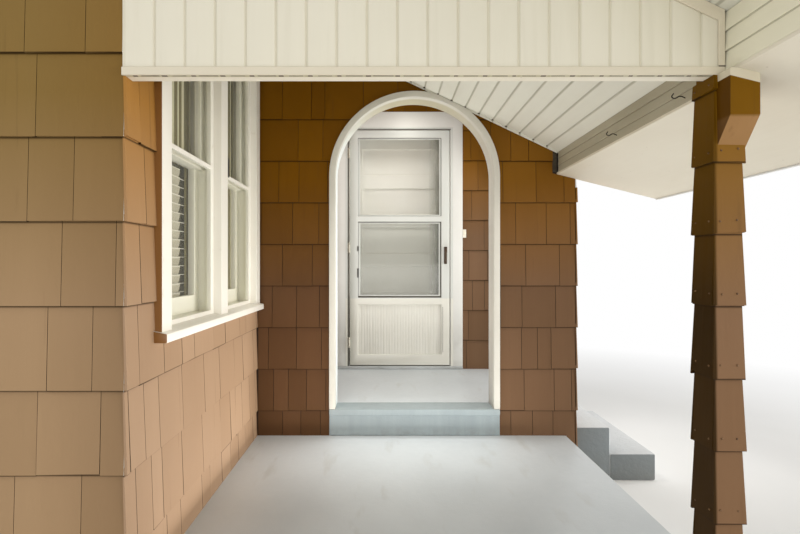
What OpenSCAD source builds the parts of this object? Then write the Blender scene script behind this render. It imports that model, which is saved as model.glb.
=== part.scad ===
// Side porch and arched entry of a shingled house: a raised concrete porch under the low end
// of a long roof slope, one clad corner post, and an entry room behind a round arch, with a
// storm door and a panelled house door. X runs along the arch wall towards the street, Y runs
// into the house and Z is up. The origin is on the ground, under the middle of the arch, on
// the face of the arch wall.

/* [Levels] */
// Height of the porch floor above the ground
porch_z = 370; // [320:5:420]
// Rise from the porch floor to the entry floor
entry_rise = 170; // [140:5:190]
// Height of the footing that the walls stand on
footing_z = 200; // [150:5:260]
// Underside of the beams above the ground
beam_z = 2045; // [2000:5:2080]
// Top of the entry walls above the ground
plate_z = 3340; // [3320:5:3500]

/* [Plan] */
// Middle of the arch to the window wall
bay_left = 1012; // [980:5:1060]
// Middle of the arch to the street end of the entry
street_x = 1025; // [980:5:1060]
// Width of the wall inside the entry on each side of the street arch
street_pier = 62; // [40:2:120]
// Thickness of the framed walls
wall_t = 150; // [130:5:170]
// Length of house front that is built beyond the corner
front_stub = 538; // [400:10:700]
// Street edge of the porch floor from the middle of the arch
slab_right = 969; // [950:5:1000]
// How far the porch floor stands out past the gable
slab_front = 80; // [40:5:150]

/* [Roof] */
// Height of the porch ceiling over the middle of the arch
ceiling_z = 2611; // [2585:2:2645]
// Fall of the roof for each millimetre towards the street
roof_fall = 0.4755; // [0.45:0.005:0.5]
// Thickness of a ceiling or soffit board
lining_t = 12; // [10:1:16]
// Depth of the battens over the porch ceiling
batten_t = 50; // [40:5:60]
// Upright depth of the rafters
rafter_h = 90; // [70:5:100]
// Width of a rafter
rafter_w = 45; // [38:1:60]
// Number of rafters
rafters = 6; // [4:1:8]
// Upright depth of the roof boards
deck_h = 20; // [16:1:24]
// Upright depth of the roof covering
cover_h = 10; // [6:1:14]
// How far the roof stands out past the gable
gable_out = 400; // [340:10:480]
// Street edge of the eave soffit from the middle of the arch
eave_x = 1541; // [1500:5:1600]
// Underside of the soffit at that edge
eave_z = 1879; // [1860:1:1885]
// Thickness of fascia and barge boards
fascia_t = 20; // [16:1:26]
// How far those boards hang below the soffits
drip = 6; // [4:1:10]
// How far the covering stands out past those boards
cover_out = 10; // [6:1:16]
// Gap left between the sloping layers of the roof
layer_gap = 0.2; // [0.1:0.1:0.5]
// Slope of the entry roof
entry_pitch = 0.6; // [0.5:0.05:0.8]
// How far the entry roof stands out
entry_out = 100; // [60:10:140]
// Upright depth of the entry roof's frame and boards
entry_deck_h = 70; // [50:5:90]

/* [Arches] */
// Clear radius of the round arches
arch_r = 504; // [476:2:516]
// Height of the centre of the arches above the ground
spring_z = 2020; // [1980:5:2060]
// Thickness of the lining inside an arch
arch_lining = 20; // [14:1:26]
// Width of the casing round an arch
casing_w = 39; // [30:1:60]
// Thickness of the casing round an arch
casing_t = 26; // [20:1:32]
// Thickness of the nosing under the front arch
nosing_t = 41; // [30:1:50]
// How far that nosing stands out
nosing_out = 30; // [20:1:40]

/* [Post and beams] */
// Width of the post between the flares of its shingles
post_w = 80; // [76:1:92]
// Depth of the post between the flares of its shingles
post_d = 100; // [90:1:112]
// Left side of the post from the middle of the arch
post_x = 840; // [836:1:846]
// Inner face of the side beam from the middle of the arch
side_beam_x = 868; // [862:1:880]
// How much further out the side beam's cladding stands behind the gable
beam_step = 40; // [32:2:48]
// How far the post's back rises behind the front beam
post_rise = 22; // [10:2:30]
// Thickness of the side beam
beam_t = 90; // [80:1:100]
// Thickness of the beam and frame behind the gable's boards
front_beam_t = 38; // [34:1:60]
// Thickness of the cladding on the side beam
beam_clad = 12; // [9:1:16]
// Height of the bracket on the post
bracket_h = 140; // [120:5:160]
// How far the bracket stands out
bracket_out = 70; // [55:1:80]
// Height of the bracket's slanted underside
bracket_slant = 90; // [70:5:110]
// Width of the bracket
bracket_w = 90; // [84:1:94]
// How far the bracket sits to the street side of the post's edge
bracket_inset = 3; // [0:1:8]
// Height of the rail along the foot of the gable
rail_h = 26; // [20:1:32]
// Thickness of the boards and rails on the gable
gable_t = 14; // [12:1:18]
// Thickness of the trims on the gable and under the ceiling
trim_t = 8; // [6:1:10]
// Height of the raking trim under the gable's soffit
rake_trim = 42; // [34:1:48]
// Width of the trim at the street end of the gable
end_trim = 20; // [16:1:26]
// Height of the trim under the ceiling along the arch wall
channel_h = 12; // [8:1:18]
// Distance from the arch wall to the end of the beam's cladding
clad_stop = 28; // [26:1:40]
// Width of the gable's first board
gable_first = 100; // [60:1:105]
// Spacing of the gable's grooves
gable_pitch = 95; // [85:0.5:105]
// Width of the ceiling's first board along X
ceiling_first = 40; // [20:1:86]
// Spacing of the ceiling's grooves along X
ceiling_pitch = 86.3; // [78:0.1:95]
// Depth of the grooves in gable and ceiling
groove = 5; // [3:0.5:7]

/* [Shingle courses] */
// Spacing of the courses on the walls
course = 265; // [240:5:290]
// Height of the first course's lower edge above the ground
course_z = 265; // [250:5:280]
// Thickness of a course at its lower edge
butt_t = 15; // [12:1:18]
// Thickness of a course where the next one covers it
tip_t = 6; // [4:1:8]
// Height of the lowest course on the post
post_first = 280; // [250:1:300]
// Spacing of the courses above it
post_course = 225; // [205:1:245]
// How far a course on the post flares out
post_flare = 11; // [6:1:14]

/* [Window] */
// Gap between the window casing and the arch wall
window_gap = 39; // [30:1:60]
// Distance from the window casing to the gable
window_to_gable = 202; // [160:2:240]
// Width of the casing round the window
window_casing = 90; // [80:1:100]
// Width of each window opening
light_w = 601; // [520:1:700]
// Width of the post between the two windows
mullion_w = 104; // [90:1:120]
// Front edge of the sill's top above the ground
light_z0 = 1210; // [1170:5:1250]
// Top of the window openings above the ground
light_z1 = 2640; // [2560:5:2660]
// Height of the meeting rails above the ground
meeting_z = 1908; // [1850:2:1960]
// Distance from the wall's face back to the storm windows
storm_set = 3; // [1:1:6]
// Thickness of the storm windows
storm_sash_t = 20; // [16:1:24]
// Width of the storm windows' stiles
storm_sash_w = 46; // [36:1:52]
// Height of the storm windows' rails
storm_rail_h = 19; // [16:1:26]
// Distance from the wall's face back to the upper sashes
sash_set = 48; // [36:1:50]
// Width of the stiles and top rails of the sashes
sash_w = 55; // [46:1:60]
// Thickness of the sashes
sash_t = 30; // [26:1:32]
// Height of the rails where two sashes meet
sash_meeting = 40; // [32:1:46]
// Height of the lower sashes' bottom rails
sash_foot = 78; // [60:1:90]
// Thickness of the window glass
pane_t = 4; // [3:1:5]
// Thickness of the drawn blinds
blind_t = 14; // [8:1:16]
// Thickness of the sill
sill_t = 32; // [26:1:40]
// How far the sill stands out
sill_out = 56; // [44:1:70]
// How far the sill runs past the casing
sill_ear = 12; // [8:1:18]
// How far the sill's top falls for each millimetre outwards
sill_fall = 0.2; // [0.1:0.02:0.24]

/* [Doors] */
// Hinge edge of the storm door from the middle of the arch
door_left = 496; // [486:1:500]
// Width of the storm door
door_w = 880; // [860:1:884]
// Underside of the storm door above the entry floor
door_gap = 37; // [36:1:44]
// Height of the storm door
door_h = 2068; // [2040:1:2072]
// Thickness of the storm door
storm_t = 32; // [28:1:36]
// Gap round the storm door
door_clear = 7; // [5:0.5:10]
// Width of the storm door's stiles
stile_w = 73; // [62:1:82]
// Height of the storm door's top rail
top_rail = 66; // [56:1:76]
// Height of the storm door's lower glass
lower_light = 669; // [640:1:680]
// Height of the rail between the storm door's panes
bar_h = 49; // [38:1:56]
// Height of the rail over the storm door's kick panel
kick_rail = 61; // [50:1:70]
// Height of the storm door's kick panel
kick_h = 440; // [400:1:460]
// Height of the storm door's bottom rail
bottom_rail = 93; // [78:1:104]
// Number of beads across the kick panel
kick_beads = 30; // [10:1:40]
// Depth of the grooves between those beads
bead_cut = 1.5; // [1:0.5:2]
// Distance from the storm door's faces in to its kick panel
kick_set = 10; // [7:1:12]
// Width of the door casing
door_casing = 109; // [95:1:115]
// Height of the casing over the door
head_casing = 158; // [130:1:165]
// Thickness of the door casing
door_casing_t = 30; // [24:1:34]
// Thickness of the door frame
jamb_t = 30; // [24:1:34]
// Width of the door stop
stop_w = 12; // [10:1:14]
// Thickness of the door stop
stop_t = 22; // [16:1:26]
// Thickness of the house door
leaf_t = 44; // [40:1:46]
// Gap between the house door and its frame
leaf_clear = 8; // [6:0.5:10]
// Width of the house door's stiles
leaf_stile = 110; // [95:1:125]
// Height of the house door's top rail
leaf_top = 139; // [118:1:150]
// Height of the rails between the house door's panels
leaf_mid = 119; // [100:1:130]
// Height of the house door's bottom rail
leaf_foot = 265; // [220:1:290]
// Depth of the sunk panels in the house door
panel_sink = 12; // [8:1:16]
// Number of panels in the house door
door_panels = 5; // [3:1:6]
// Height of the threshold in front of the storm door
sill_low = 28; // [20:1:30]
// Height of the threshold under the house door
sill_high = 42; // [36:1:46]
// Radius of a hinge's knuckle
hinge_r = 7; // [6:0.5:9]
// Height of a hinge's knuckle
hinge_h = 90; // [70:5:110]
// Running gap between a knuckle and its door
hinge_gap = 0.3; // [0.2:0.1:0.6]
// Distance from a door's end to the middle of its nearest hinge
hinge_end = 200; // [150:10:280]
// Height of the storm door's handle above the entry floor
handle_z = 928; // [880:2:960]
// Height of the handle
handle_h = 150; // [120:2:180]
// Thickness of the handle's grip
handle_w = 15; // [12:1:18]
// Width of the handle's plate and latch
latch_w = 26; // [22:1:30]
// Height of the latch at the top of the handle
latch_h = 50; // [40:2:60]
// How far the handle stands out
handle_out = 40; // [34:1:46]
// Thickness of the handle's back plate
plate_t = 6; // [4:1:8]
// Height of the bell's foot above the entry floor
bell_rise = 1160; // [1100:5:1210]
// Width of the bell
bell_w = 30; // [24:1:36]
// Height of the bell
bell_h = 72; // [60:2:84]
// Thickness of the bell
bell_t = 20; // [16:1:24]
// Radius of the bell's button
bell_r = 8; // [6:0.5:10]
// How far the button stands out
bell_push = 5; // [3:0.5:6]

/* [Street steps] */
// Depth of a tread
tread = 308; // [280:2:330]
// Height of one step
step_h = 180; // [160:2:190]

/* [Hidden] */
entry_z = porch_z + entry_rise;
hole_r = arch_r + arch_lining;
entry_depth = 2 * (hole_r + street_pier);
bay_depth = window_gap + 2 * window_casing + 2 * light_w + mullion_w + window_to_gable;
house_x = -bay_left;
stub_x = house_x - front_stub;
front_y = -bay_depth;
door_y = wall_t + entry_depth;
back_y = door_y + wall_t;
street_y = wall_t + entry_depth / 2;
street_in = street_x - wall_t;
eps = 1;
stack_h = lining_t + batten_t;
roof_h = stack_h + rafter_h + deck_h + cover_h;
board_y = front_y - gable_t;
roof_front = front_y - gable_out;
post_y = board_y;
window_y3 = -window_gap - window_casing;
window_y2 = window_y3 - light_w;
window_y0 = window_y2 - mullion_w - light_w;
window_end = window_y0 - window_casing;
storm_sash_x = house_x - storm_set;
sash_x = house_x - sash_set;
low_sash_x = sash_x - sash_t;
sill_x = house_x + sill_out;
door_x0 = -door_left;
door_x1 = door_x0 + door_w;
jamb_x0 = door_x0 - door_clear;
jamb_x1 = door_x1 + door_clear;
hole_x0 = jamb_x0 - jamb_t;
hole_x1 = jamb_x1 + jamb_t;
storm_z0 = entry_z + door_gap;
storm_z1 = storm_z0 + door_h;
kick_z = storm_z0 + bottom_rail;
lower_z = kick_z + kick_h + kick_rail;
upper_z = lower_z + lower_light + bar_h;
head_z = storm_z1 + door_clear;
hole_z = head_z + jamb_t;
storm_y = door_y - storm_t;
casing_x0 = jamb_x0 - door_casing;
casing_x1 = jamb_x1 + door_casing;
casing_z = head_z + head_casing;
leaf_x0 = jamb_x0 + stop_w / 2;
leaf_x1 = jamb_x1 - leaf_clear;
leaf_pin_x = (jamb_x0 + leaf_x0) / 2;
leaf_pin_y = back_y + pin_reach(leaf_x0 - leaf_pin_x);
storm_pin_x = (jamb_x0 + door_x0) / 2;
storm_pin_y = storm_y - pin_reach(door_x0 - storm_pin_x);
leaf_z0 = entry_z + sill_high + leaf_clear;
leaf_z1 = head_z - leaf_clear;
bell_z = entry_z + bell_rise;
bell_course = course_z + floor((bell_z + bell_h - course_z) / course) * course;
bell_y = door_y - (bell_course > bell_z ? butt_t : lap_t(bell_z, bell_course));
inner_face = side_beam_x + beam_step;
beam_in = inner_face + beam_clad;
beam_out = inner_face + beam_t;
shingle_x = side_beam_x + beam_clad;
beam_top = ceiling_at(beam_in) - drip;
bracket_x0 = post_x + bracket_inset;
bracket_x1 = bracket_x0 + bracket_w;
step_y0 = street_y - arch_r - casing_w;
step_y1 = street_y + arch_r + casing_w;
white = [0.88, 0.86, 0.80];
brown = [0.47, 0.37, 0.28];
grey = [0.72, 0.74, 0.75];

function ceiling_at(x) = ceiling_z - roof_fall * x;
function pin_reach(half_gap) = sqrt(pow(hinge_r + hinge_gap, 2) - pow(half_gap, 2));
function sill_at(x) = light_z0 + sill_fall * (sill_x - x);
function soffit_at(x) = beam_z - (beam_z - eave_z) * (x - side_beam_x) / (eave_x - side_beam_x);

// Three knuckles up one door edge, each with the plate that holds it to the frame; side is the
// way the knuckles stand out of the wall
module hinges(x, y, z0, z1, face, side) {
    for (z = [z0 + hinge_end, (z0 + z1) / 2, z1 - hinge_end]) translate([0, 0, z - hinge_h / 2]) {
        translate([x, y, 0]) cylinder(r = hinge_r, h = hinge_h, $fn = 32);
        translate([x - 2 * hinge_r, min(face, face + side * hinge_r / 2), 0])
            cube([1.6 * hinge_r, hinge_r / 2, hinge_h]);
    }
}

// A plain block between two corners
module block(x0, x1, y0, y1, z0, z1) {
    translate([x0, y0, z0]) cube([x1 - x0, y1 - y0, z1 - z0]);
}

// A shape drawn across the porch, in X and Z, and drawn out along Y
module along_y(y0, y1) {
    translate([0, y1, 0]) rotate([90, 0, 0]) linear_extrude(y1 - y0) children();
}

// A shape drawn in Y and Z, and drawn out along X
module along_x(x0, x1) {
    translate([x0, 0, 0]) rotate([90, 0, 90]) linear_extrude(x1 - x0) children();
}

// A band that follows the roof slope between two heights over the ceiling line
module slope_band(x0, x1, low, high) {
    polygon([[x0, ceiling_at(x0) + low], [x1, ceiling_at(x1) + low],
        [x1, ceiling_at(x1) + high], [x0, ceiling_at(x0) + high]]);
}

// Everything between the ceilings and the top of the roof, which the shingles stop at
module roof_outline() {
    high = roof_h + layer_gap;
    end_x = eave_x + 3 * fascia_t;
    polygon([[stub_x, ceiling_at(stub_x) - layer_gap],
        [shingle_x, ceiling_at(shingle_x) - layer_gap],
        [shingle_x, soffit_at(shingle_x) - layer_gap],
        [end_x, soffit_at(end_x) - layer_gap], [end_x, ceiling_at(end_x) + high],
        [stub_x, ceiling_at(stub_x) + high]]);
}

// Round headed hole with its centre at x, from z0 up
module arch_shape(x, z0, r) {
    translate([x, spring_z]) circle(r = r, $fn = 96);
    translate([x - r, z0]) square([2 * r, spring_z - z0]);
}

// Sawtooth section of lapped courses on a face, thick at each lower edge; side is the way out
function lap_t(z, z0) = butt_t - (butt_t - tip_t) * (z - z0) / course;
function lap_points(face, side, low, high) = [[face, low],
    for (k = [floor((low - course_z) / course) : ceil((high - course_z) / course) - 1])
        let (z = course_z + k * course, a = max(low, z), b = min(high, z + course))
        each [[face + side * lap_t(a, z), a], [face + side * lap_t(b, z), b]],
    [face, high]];

module footing() color(grey) {
    block(stub_x, house_x, front_y + 20, front_y + wall_t, 0, footing_z);
    block(house_x - wall_t, house_x, front_y + wall_t, back_y, 0, footing_z);
    block(house_x, -hole_r, 0, wall_t, 0, footing_z);
    block(hole_r, street_x, 0, wall_t, 0, footing_z);
    block(house_x, street_x, door_y, back_y, 0, footing_z);
    block(street_in, street_x, wall_t, door_y, 0, footing_z);
}

module porch_slab() color(grey)
    block(house_x, slab_right, board_y - slab_front, 0, 0, porch_z);

module entry_slab() color(grey) {
    block(house_x, street_in, wall_t, door_y, 0, entry_z);
    block(hole_x0, hole_x1, door_y, back_y, footing_z, entry_z);
    block(street_in, street_x, street_y - hole_r, street_y + hole_r, footing_z, entry_z);
}

module arch_riser() color([0.62, 0.68, 0.70]) {
    block(-hole_r, hole_r, 0, wall_t, 0, entry_z - nosing_t);
    block(-arch_r - casing_w, arch_r + casing_w, -nosing_out / 2, 0, porch_z, entry_z - nosing_t);
}

module arch_nosing() color(grey) {
    block(-hole_r, hole_r, 0, wall_t, entry_z - nosing_t, entry_z);
    block(-arch_r - casing_w, arch_r + casing_w, -nosing_out, 0, entry_z - nosing_t, entry_z);
}

module street_step_upper() color(grey)
    block(street_x, street_x + tread, step_y0, step_y1, 0, 2 * step_h);

module street_step_lower() color(grey)
    block(street_x + tread, street_x + 2 * tread, step_y0, step_y1, 0, step_h);

module front_wall() color(brown) along_y(front_y, front_y + wall_t)
    polygon([[stub_x, footing_z], [house_x, footing_z], [house_x, ceiling_at(house_x) + stack_h],
        [stub_x, ceiling_at(stub_x) + stack_h]]);

module window_wall() color(brown) difference() {
    along_y(front_y + wall_t, 0) polygon([[house_x - wall_t, footing_z], [house_x, footing_z],
        [house_x, ceiling_at(house_x) + stack_h],
        [house_x - wall_t, ceiling_at(house_x - wall_t) + stack_h]]);
    block(house_x - wall_t - eps, house_x + eps, window_y0 - window_casing / 2,
        window_y3 + window_casing / 2, light_z0 - window_casing / 2, light_z1 + window_casing / 2);
}

// Outline of the entry's end walls under its roof, from a given height up
module entry_gable(y0, y1, low) {
    polygon([[y0, low], [y1, low], [y1, plate_z],
        [street_y, plate_z + entry_pitch * (back_y / 2)], [y0, plate_z]]);
}

module entry_side_wall() color(brown) along_x(house_x - wall_t, house_x)
    entry_gable(0, back_y, footing_z);

module arch_wall_left() color(brown)
    block(house_x, -hole_r, 0, wall_t, footing_z, spring_z);

module arch_wall_right() color(brown)
    block(hole_r, street_x, 0, wall_t, footing_z, spring_z);

module arch_wall_head() color(brown) along_y(0, wall_t) difference() {
    translate([house_x, spring_z]) square([street_x - house_x, plate_z - spring_z]);
    arch_shape(0, spring_z - eps, hole_r);
}

module door_wall_left() color(brown)
    block(house_x, hole_x0, door_y, back_y, footing_z, hole_z);

module door_wall_right() color(brown)
    block(hole_x1, street_x, door_y, back_y, footing_z, hole_z);

module door_wall_head() color(brown)
    block(house_x, street_x, door_y, back_y, hole_z, plate_z);

module street_wall_piers() color(brown) {
    block(street_in, street_x, wall_t, street_y - hole_r, footing_z, spring_z);
    block(street_in, street_x, street_y + hole_r, door_y, footing_z, spring_z);
}

module street_wall_head() color(brown) along_x(street_in, street_x) difference() {
    union() {
        translate([wall_t, spring_z]) square([entry_depth, plate_z - spring_z]);
        polygon([[0, plate_z], [back_y, plate_z],
            [street_y, plate_z + entry_pitch * (back_y / 2)]]);
    }
    arch_shape(street_y, spring_z - eps, hole_r);
}

module front_shingles() color(brown) intersection() {
    along_x(stub_x, house_x) polygon(lap_points(front_y, -1, footing_z, plate_z + course));
    along_y(front_y - course, front_y + eps) polygon([[stub_x - eps, 0], [house_x + eps, 0],
        [house_x + eps, ceiling_at(house_x + eps) + batten_t - layer_gap],
        [stub_x - eps, ceiling_at(stub_x - eps) + batten_t - layer_gap]]);
}

module side_shingles() color(brown) difference() {
    along_y(front_y - butt_t, 0)
        polygon(lap_points(house_x, 1, porch_z, ceiling_at(house_x + butt_t)));
    block(house_x - eps, sill_x, window_end, window_y3 + window_casing, light_z0,
        light_z1 + window_casing);
    block(house_x - eps, sill_x, window_end - sill_ear, window_y3 + window_casing + sill_ear,
        light_z0 - sill_t, sill_at(house_x));
    block(house_x - eps, sill_x, front_y - butt_t - eps, front_y + front_beam_t, beam_z, plate_z);
}

module arch_shingles() color(brown) difference() {
    along_x(house_x + butt_t, street_x) polygon(lap_points(0, -1, footing_z, plate_z - lining_t));
    along_y(-casing_t, eps) arch_shape(0, porch_z - eps, arch_r + casing_w);
    along_y(-casing_t, eps) roof_outline();
    block(house_x, slab_right, -casing_t, eps, footing_z - eps, porch_z);
}

module entry_shingles() color(brown) {
    difference() {
        along_x(house_x, street_in) polygon(lap_points(door_y, -1, entry_z, plate_z - lining_t));
        block(casing_x0, casing_x1, door_y - door_casing_t, door_y + eps, entry_z - eps,
            casing_z);
    }
    along_y(wall_t, door_y) polygon(lap_points(house_x, 1, entry_z, plate_z - lining_t));
}

module street_shingles() color(brown) difference() {
    intersection() {
        along_y(-butt_t, back_y) polygon(lap_points(street_x, 1, footing_z, plate_z + 2 * course));
        along_x(street_x - eps, street_x + casing_t) polygon([[-butt_t - eps, 0], [back_y, 0],
            [back_y, plate_z], [street_y, plate_z + entry_pitch * street_y],
            [-butt_t - eps, plate_z - entry_pitch * (butt_t + eps)]]);
    }
    along_x(street_x - eps, street_x + casing_t + eps)
        arch_shape(street_y, entry_z, arch_r + casing_w);
    block(street_x - eps, street_x + casing_t, step_y0, step_y1, 0, 2 * step_h);
    along_y(-casing_t, 0) roof_outline();
}

// Casing and lining of one arch, drawn with the way through along Y
module arch_lined(depth, foot) {
    along_y(-casing_t, 0) difference() {
        arch_shape(0, foot, arch_r + casing_w);
        arch_shape(0, foot - eps, arch_r);
    }
    along_y(0, depth) difference() {
        arch_shape(0, foot, hole_r);
        arch_shape(0, foot - eps, arch_r);
    }
}

module arch_casing() color(white) difference() {
    arch_lined(wall_t, entry_z);
    along_y(-casing_t - eps, 0) roof_outline();
}

module street_arch_casing() color(white)
    translate([street_x, street_y, 0]) rotate([0, 0, 90]) arch_lined(wall_t, entry_z);

// One lapped course on the post, wider at its lower edge
module post_ring(z0, z1) {
    low = post_flare;
    high = post_flare * (1 - (z1 - z0) / max(post_course, z1 - z0));
    polyhedron([for (s = [[low, z0], [high, z1]], c = [[0, 0], [1, 0], [1, 1], [0, 1]])
            [post_x + c[0] * post_w + (2 * c[0] - 1) * s[0],
                post_y + c[1] * post_d + (2 * c[1] - 1) * s[0], s[1]]],
        [[0, 1, 2, 3], [4, 7, 6, 5], [0, 4, 5, 1], [1, 5, 6, 2], [2, 6, 7, 3], [3, 7, 4, 0]]);
}

// Side view of the bracket, in Y and Z
module bracket_side() {
    polygon([[post_y - bracket_out, beam_z + eps], [post_y - bracket_out, beam_z - bracket_h],
        [post_y, beam_z - bracket_h - bracket_slant], [post_y, beam_z + eps]]);
}

// Everything under the beam and the eave's soffit
module under_beam(x0, x1) {
    polygon([[x0, 0], [x1, 0], [x1, soffit_at(x1) - layer_gap],
        [side_beam_x, beam_z - layer_gap], [side_beam_x, beam_z], [x0, beam_z]]);
}

module porch_post() color(brown) {
    difference() {
        intersection() {
            union() {
                block(post_x, post_x + post_w, post_y, post_y + post_d, porch_z, beam_z);
                post_ring(porch_z, porch_z + post_first);
                for (z = [porch_z + post_first : post_course : beam_z - post_course / 8])
                    post_ring(z, min(z + post_course, beam_z));
            }
            along_y(post_y - post_flare - eps, post_y + post_d + post_flare + eps)
                under_beam(post_x - post_flare - eps, post_x + post_w + post_flare + eps);
        }
        along_x(bracket_x0, bracket_x1 + post_flare) bracket_side();
    }
    block(post_x, inner_face - layer_gap, front_y + front_beam_t + layer_gap, post_y + post_d,
        beam_z - post_rise, beam_z + post_rise);
}

module post_bracket() color(brown) intersection() {
    along_x(bracket_x0, bracket_x1) bracket_side();
    along_y(post_y - bracket_out - eps, post_y + eps)
        under_beam(bracket_x0 - eps, bracket_x1 + eps);
}

module front_beam() color(white) along_y(front_y, front_y + front_beam_t)
    polygon([[house_x, beam_z], [side_beam_x, beam_z], [side_beam_x, beam_z + lining_t],
        [beam_in, beam_z + lining_t], [beam_in, beam_top], [house_x, beam_top]]);

module side_beam() color(white) along_y(roof_front, 0)
    polygon([[beam_in, soffit_at(beam_in) + lining_t + layer_gap],
        [beam_out, soffit_at(beam_out) + lining_t + layer_gap],
        [beam_out, ceiling_at(beam_out) + stack_h],
        [beam_in, ceiling_at(beam_in) + stack_h]]);

// Three lapped boards on one stretch of the side beam, from the soffit to the ceiling over them,
// which lies up higher than the porch's; face is how far in their lower edges reach
module beam_boards(y0, y1, face, up) {
    lift = up - layer_gap;
    low = soffit_at(face) + lining_t + layer_gap;
    lap = (ceiling_at(face + beam_clad / 2) + lift - low) / 3;
    along_y(y0, y1) polygon([[beam_in, low], for (k = [0:2]) each [[face, low + k * lap],
        [face + beam_clad / 2, low + (k + 1) * lap]], [beam_in, ceiling_at(beam_in) + lift]]);
}

module beam_cladding() color(white) {
    beam_boards(roof_front, front_y, side_beam_x, batten_t);
    beam_boards(front_y + front_beam_t, -clad_stop, inner_face, 0);
}

module gable_frame() color(white) along_y(front_y, front_y + front_beam_t)
    polygon([[house_x, beam_top], [beam_in, beam_top], [beam_in, ceiling_at(beam_in) + stack_h],
        [house_x, ceiling_at(house_x) + stack_h]]);

module gable_boards() color(white) intersection() {
    translate([0, 0, beam_z]) linear_extrude(plate_z) polygon([[house_x, front_y],
        [house_x, board_y],
        for (x = [house_x + gable_first : gable_pitch : side_beam_x - groove])
            each [[x - groove, board_y], [x, board_y + groove], [x + groove, board_y]],
        [side_beam_x, board_y], [side_beam_x, front_y]]);
    along_y(board_y - eps, front_y + eps) polygon([[house_x, beam_z], [side_beam_x, beam_z],
        [side_beam_x, ceiling_at(side_beam_x) + batten_t],
        [house_x, ceiling_at(house_x) + batten_t]]);
}

module gable_trim() color(white) along_y(board_y - trim_t, board_y) {
    translate([house_x, beam_z]) square([side_beam_x - house_x, rail_h]);
    translate([side_beam_x - end_trim, beam_z])
        square([end_trim, ceiling_at(side_beam_x) + batten_t - rake_trim / 2 - beam_z]);
    slope_band(house_x, side_beam_x, batten_t - rake_trim, batten_t - layer_gap);
}

// Grooved boards under a slope, with the grooves running along Y
module grooved_slope(x0, x1, low) {
    polygon([[x0, ceiling_at(x0) + low + lining_t], [x0, ceiling_at(x0) + low],
        for (x = [x0 + ceiling_first : ceiling_pitch : x1 - groove])
            each [[x - groove, ceiling_at(x - groove) + low], [x, ceiling_at(x) + low + groove],
                [x + groove, ceiling_at(x + groove) + low]],
        [x1, ceiling_at(x1) + low], [x1, ceiling_at(x1) + low + lining_t]]);
}

module porch_ceiling() color(white) along_y(front_y + front_beam_t, 0)
    grooved_slope(house_x, beam_in, 0);

module ceiling_battens() color([0.7, 0.6, 0.45])
    for (y = [front_y + front_beam_t : (bay_depth - front_beam_t - rafter_w) / 3 : -rafter_w])
        along_y(y, y + rafter_w)
            slope_band(house_x, beam_in, lining_t, stack_h);

module ceiling_trim() color(white) along_y(-butt_t - trim_t, -butt_t) difference() {
    slope_band(house_x + butt_t, inner_face, -channel_h, -layer_gap);
    arch_shape(0, entry_z, arch_r + casing_w + layer_gap);
}

module eave_soffit() color(white) difference() {
    along_y(roof_front, 0) polygon([[side_beam_x, beam_z], [eave_x, eave_z],
        [eave_x, eave_z + lining_t], [side_beam_x, beam_z + lining_t]]);
    block(side_beam_x - eps, inner_face, front_y + front_beam_t, eps, eave_z,
        beam_z + 2 * lining_t);
}

module gable_soffit() color(white) along_y(roof_front, board_y)
    grooved_slope(stub_x, beam_in, batten_t);

module fascia_boards() color(white) {
    along_y(roof_front - fascia_t, 0) polygon([[eave_x, eave_z - drip],
        [eave_x + fascia_t, eave_z - drip],
        [eave_x + fascia_t, ceiling_at(eave_x + fascia_t) + stack_h + rafter_h],
        [eave_x, ceiling_at(eave_x) + stack_h + rafter_h]]);
    along_y(roof_front - fascia_t, roof_front)
        polygon([[stub_x, ceiling_at(stub_x) + batten_t - drip],
        [side_beam_x, ceiling_at(side_beam_x) + batten_t - drip], [side_beam_x, beam_z - drip],
        [eave_x, eave_z - drip], [eave_x, ceiling_at(eave_x) + stack_h + rafter_h],
        [stub_x, ceiling_at(stub_x) + stack_h + rafter_h]]);
}

module roof_rafters() color([0.7, 0.6, 0.45])
    for (k = [0 : rafters - 1]) let (y = roof_front - k * (roof_front + rafter_w) / (rafters - 1))
        along_y(y, y + rafter_w)
            slope_band(stub_x, eave_x, stack_h + layer_gap, stack_h + rafter_h);

module roof_deck() color([0.66, 0.56, 0.42]) along_y(roof_front - fascia_t, 0)
    slope_band(stub_x, eave_x + fascia_t, stack_h + rafter_h, stack_h + rafter_h + deck_h);

// Half of the entry roof's section: a band along the slope; side is -1 for the porch half
module entry_slope(side, reach, low, high) {
    span = back_y / 2;
    translate([street_y, 0]) polygon([[0, plate_z + entry_pitch * span + low],
        [side * (span + reach), plate_z - entry_pitch * reach + low],
        [side * (span + reach), plate_z - entry_pitch * reach + high],
        [0, plate_z + entry_pitch * span + high]]);
}

// Both slopes of the entry roof; the porch side has no overhang where the main roof stands
module entry_band(low, high, past) {
    along_x(house_x - wall_t, street_x + entry_out + past) {
        entry_slope(-1, 0, low, high);
        entry_slope(1, entry_out + past, low, high);
    }
    along_x(house_x + wall_t, street_x + entry_out + past)
        entry_slope(-1, entry_out + past, low, high);
}

module roof_covering() color([0.32, 0.30, 0.28]) {
    along_y(roof_front - fascia_t - cover_out, 0) slope_band(stub_x, eave_x + fascia_t + cover_out,
        stack_h + rafter_h + deck_h, roof_h);
    entry_band(entry_deck_h, entry_deck_h + cover_h, cover_out);
}

module entry_ceiling() color(white)
    block(house_x, street_in, wall_t, door_y, plate_z - lining_t, plate_z);

module entry_roof() color([0.8, 0.78, 0.72]) entry_band(0, entry_deck_h, 0);

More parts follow.
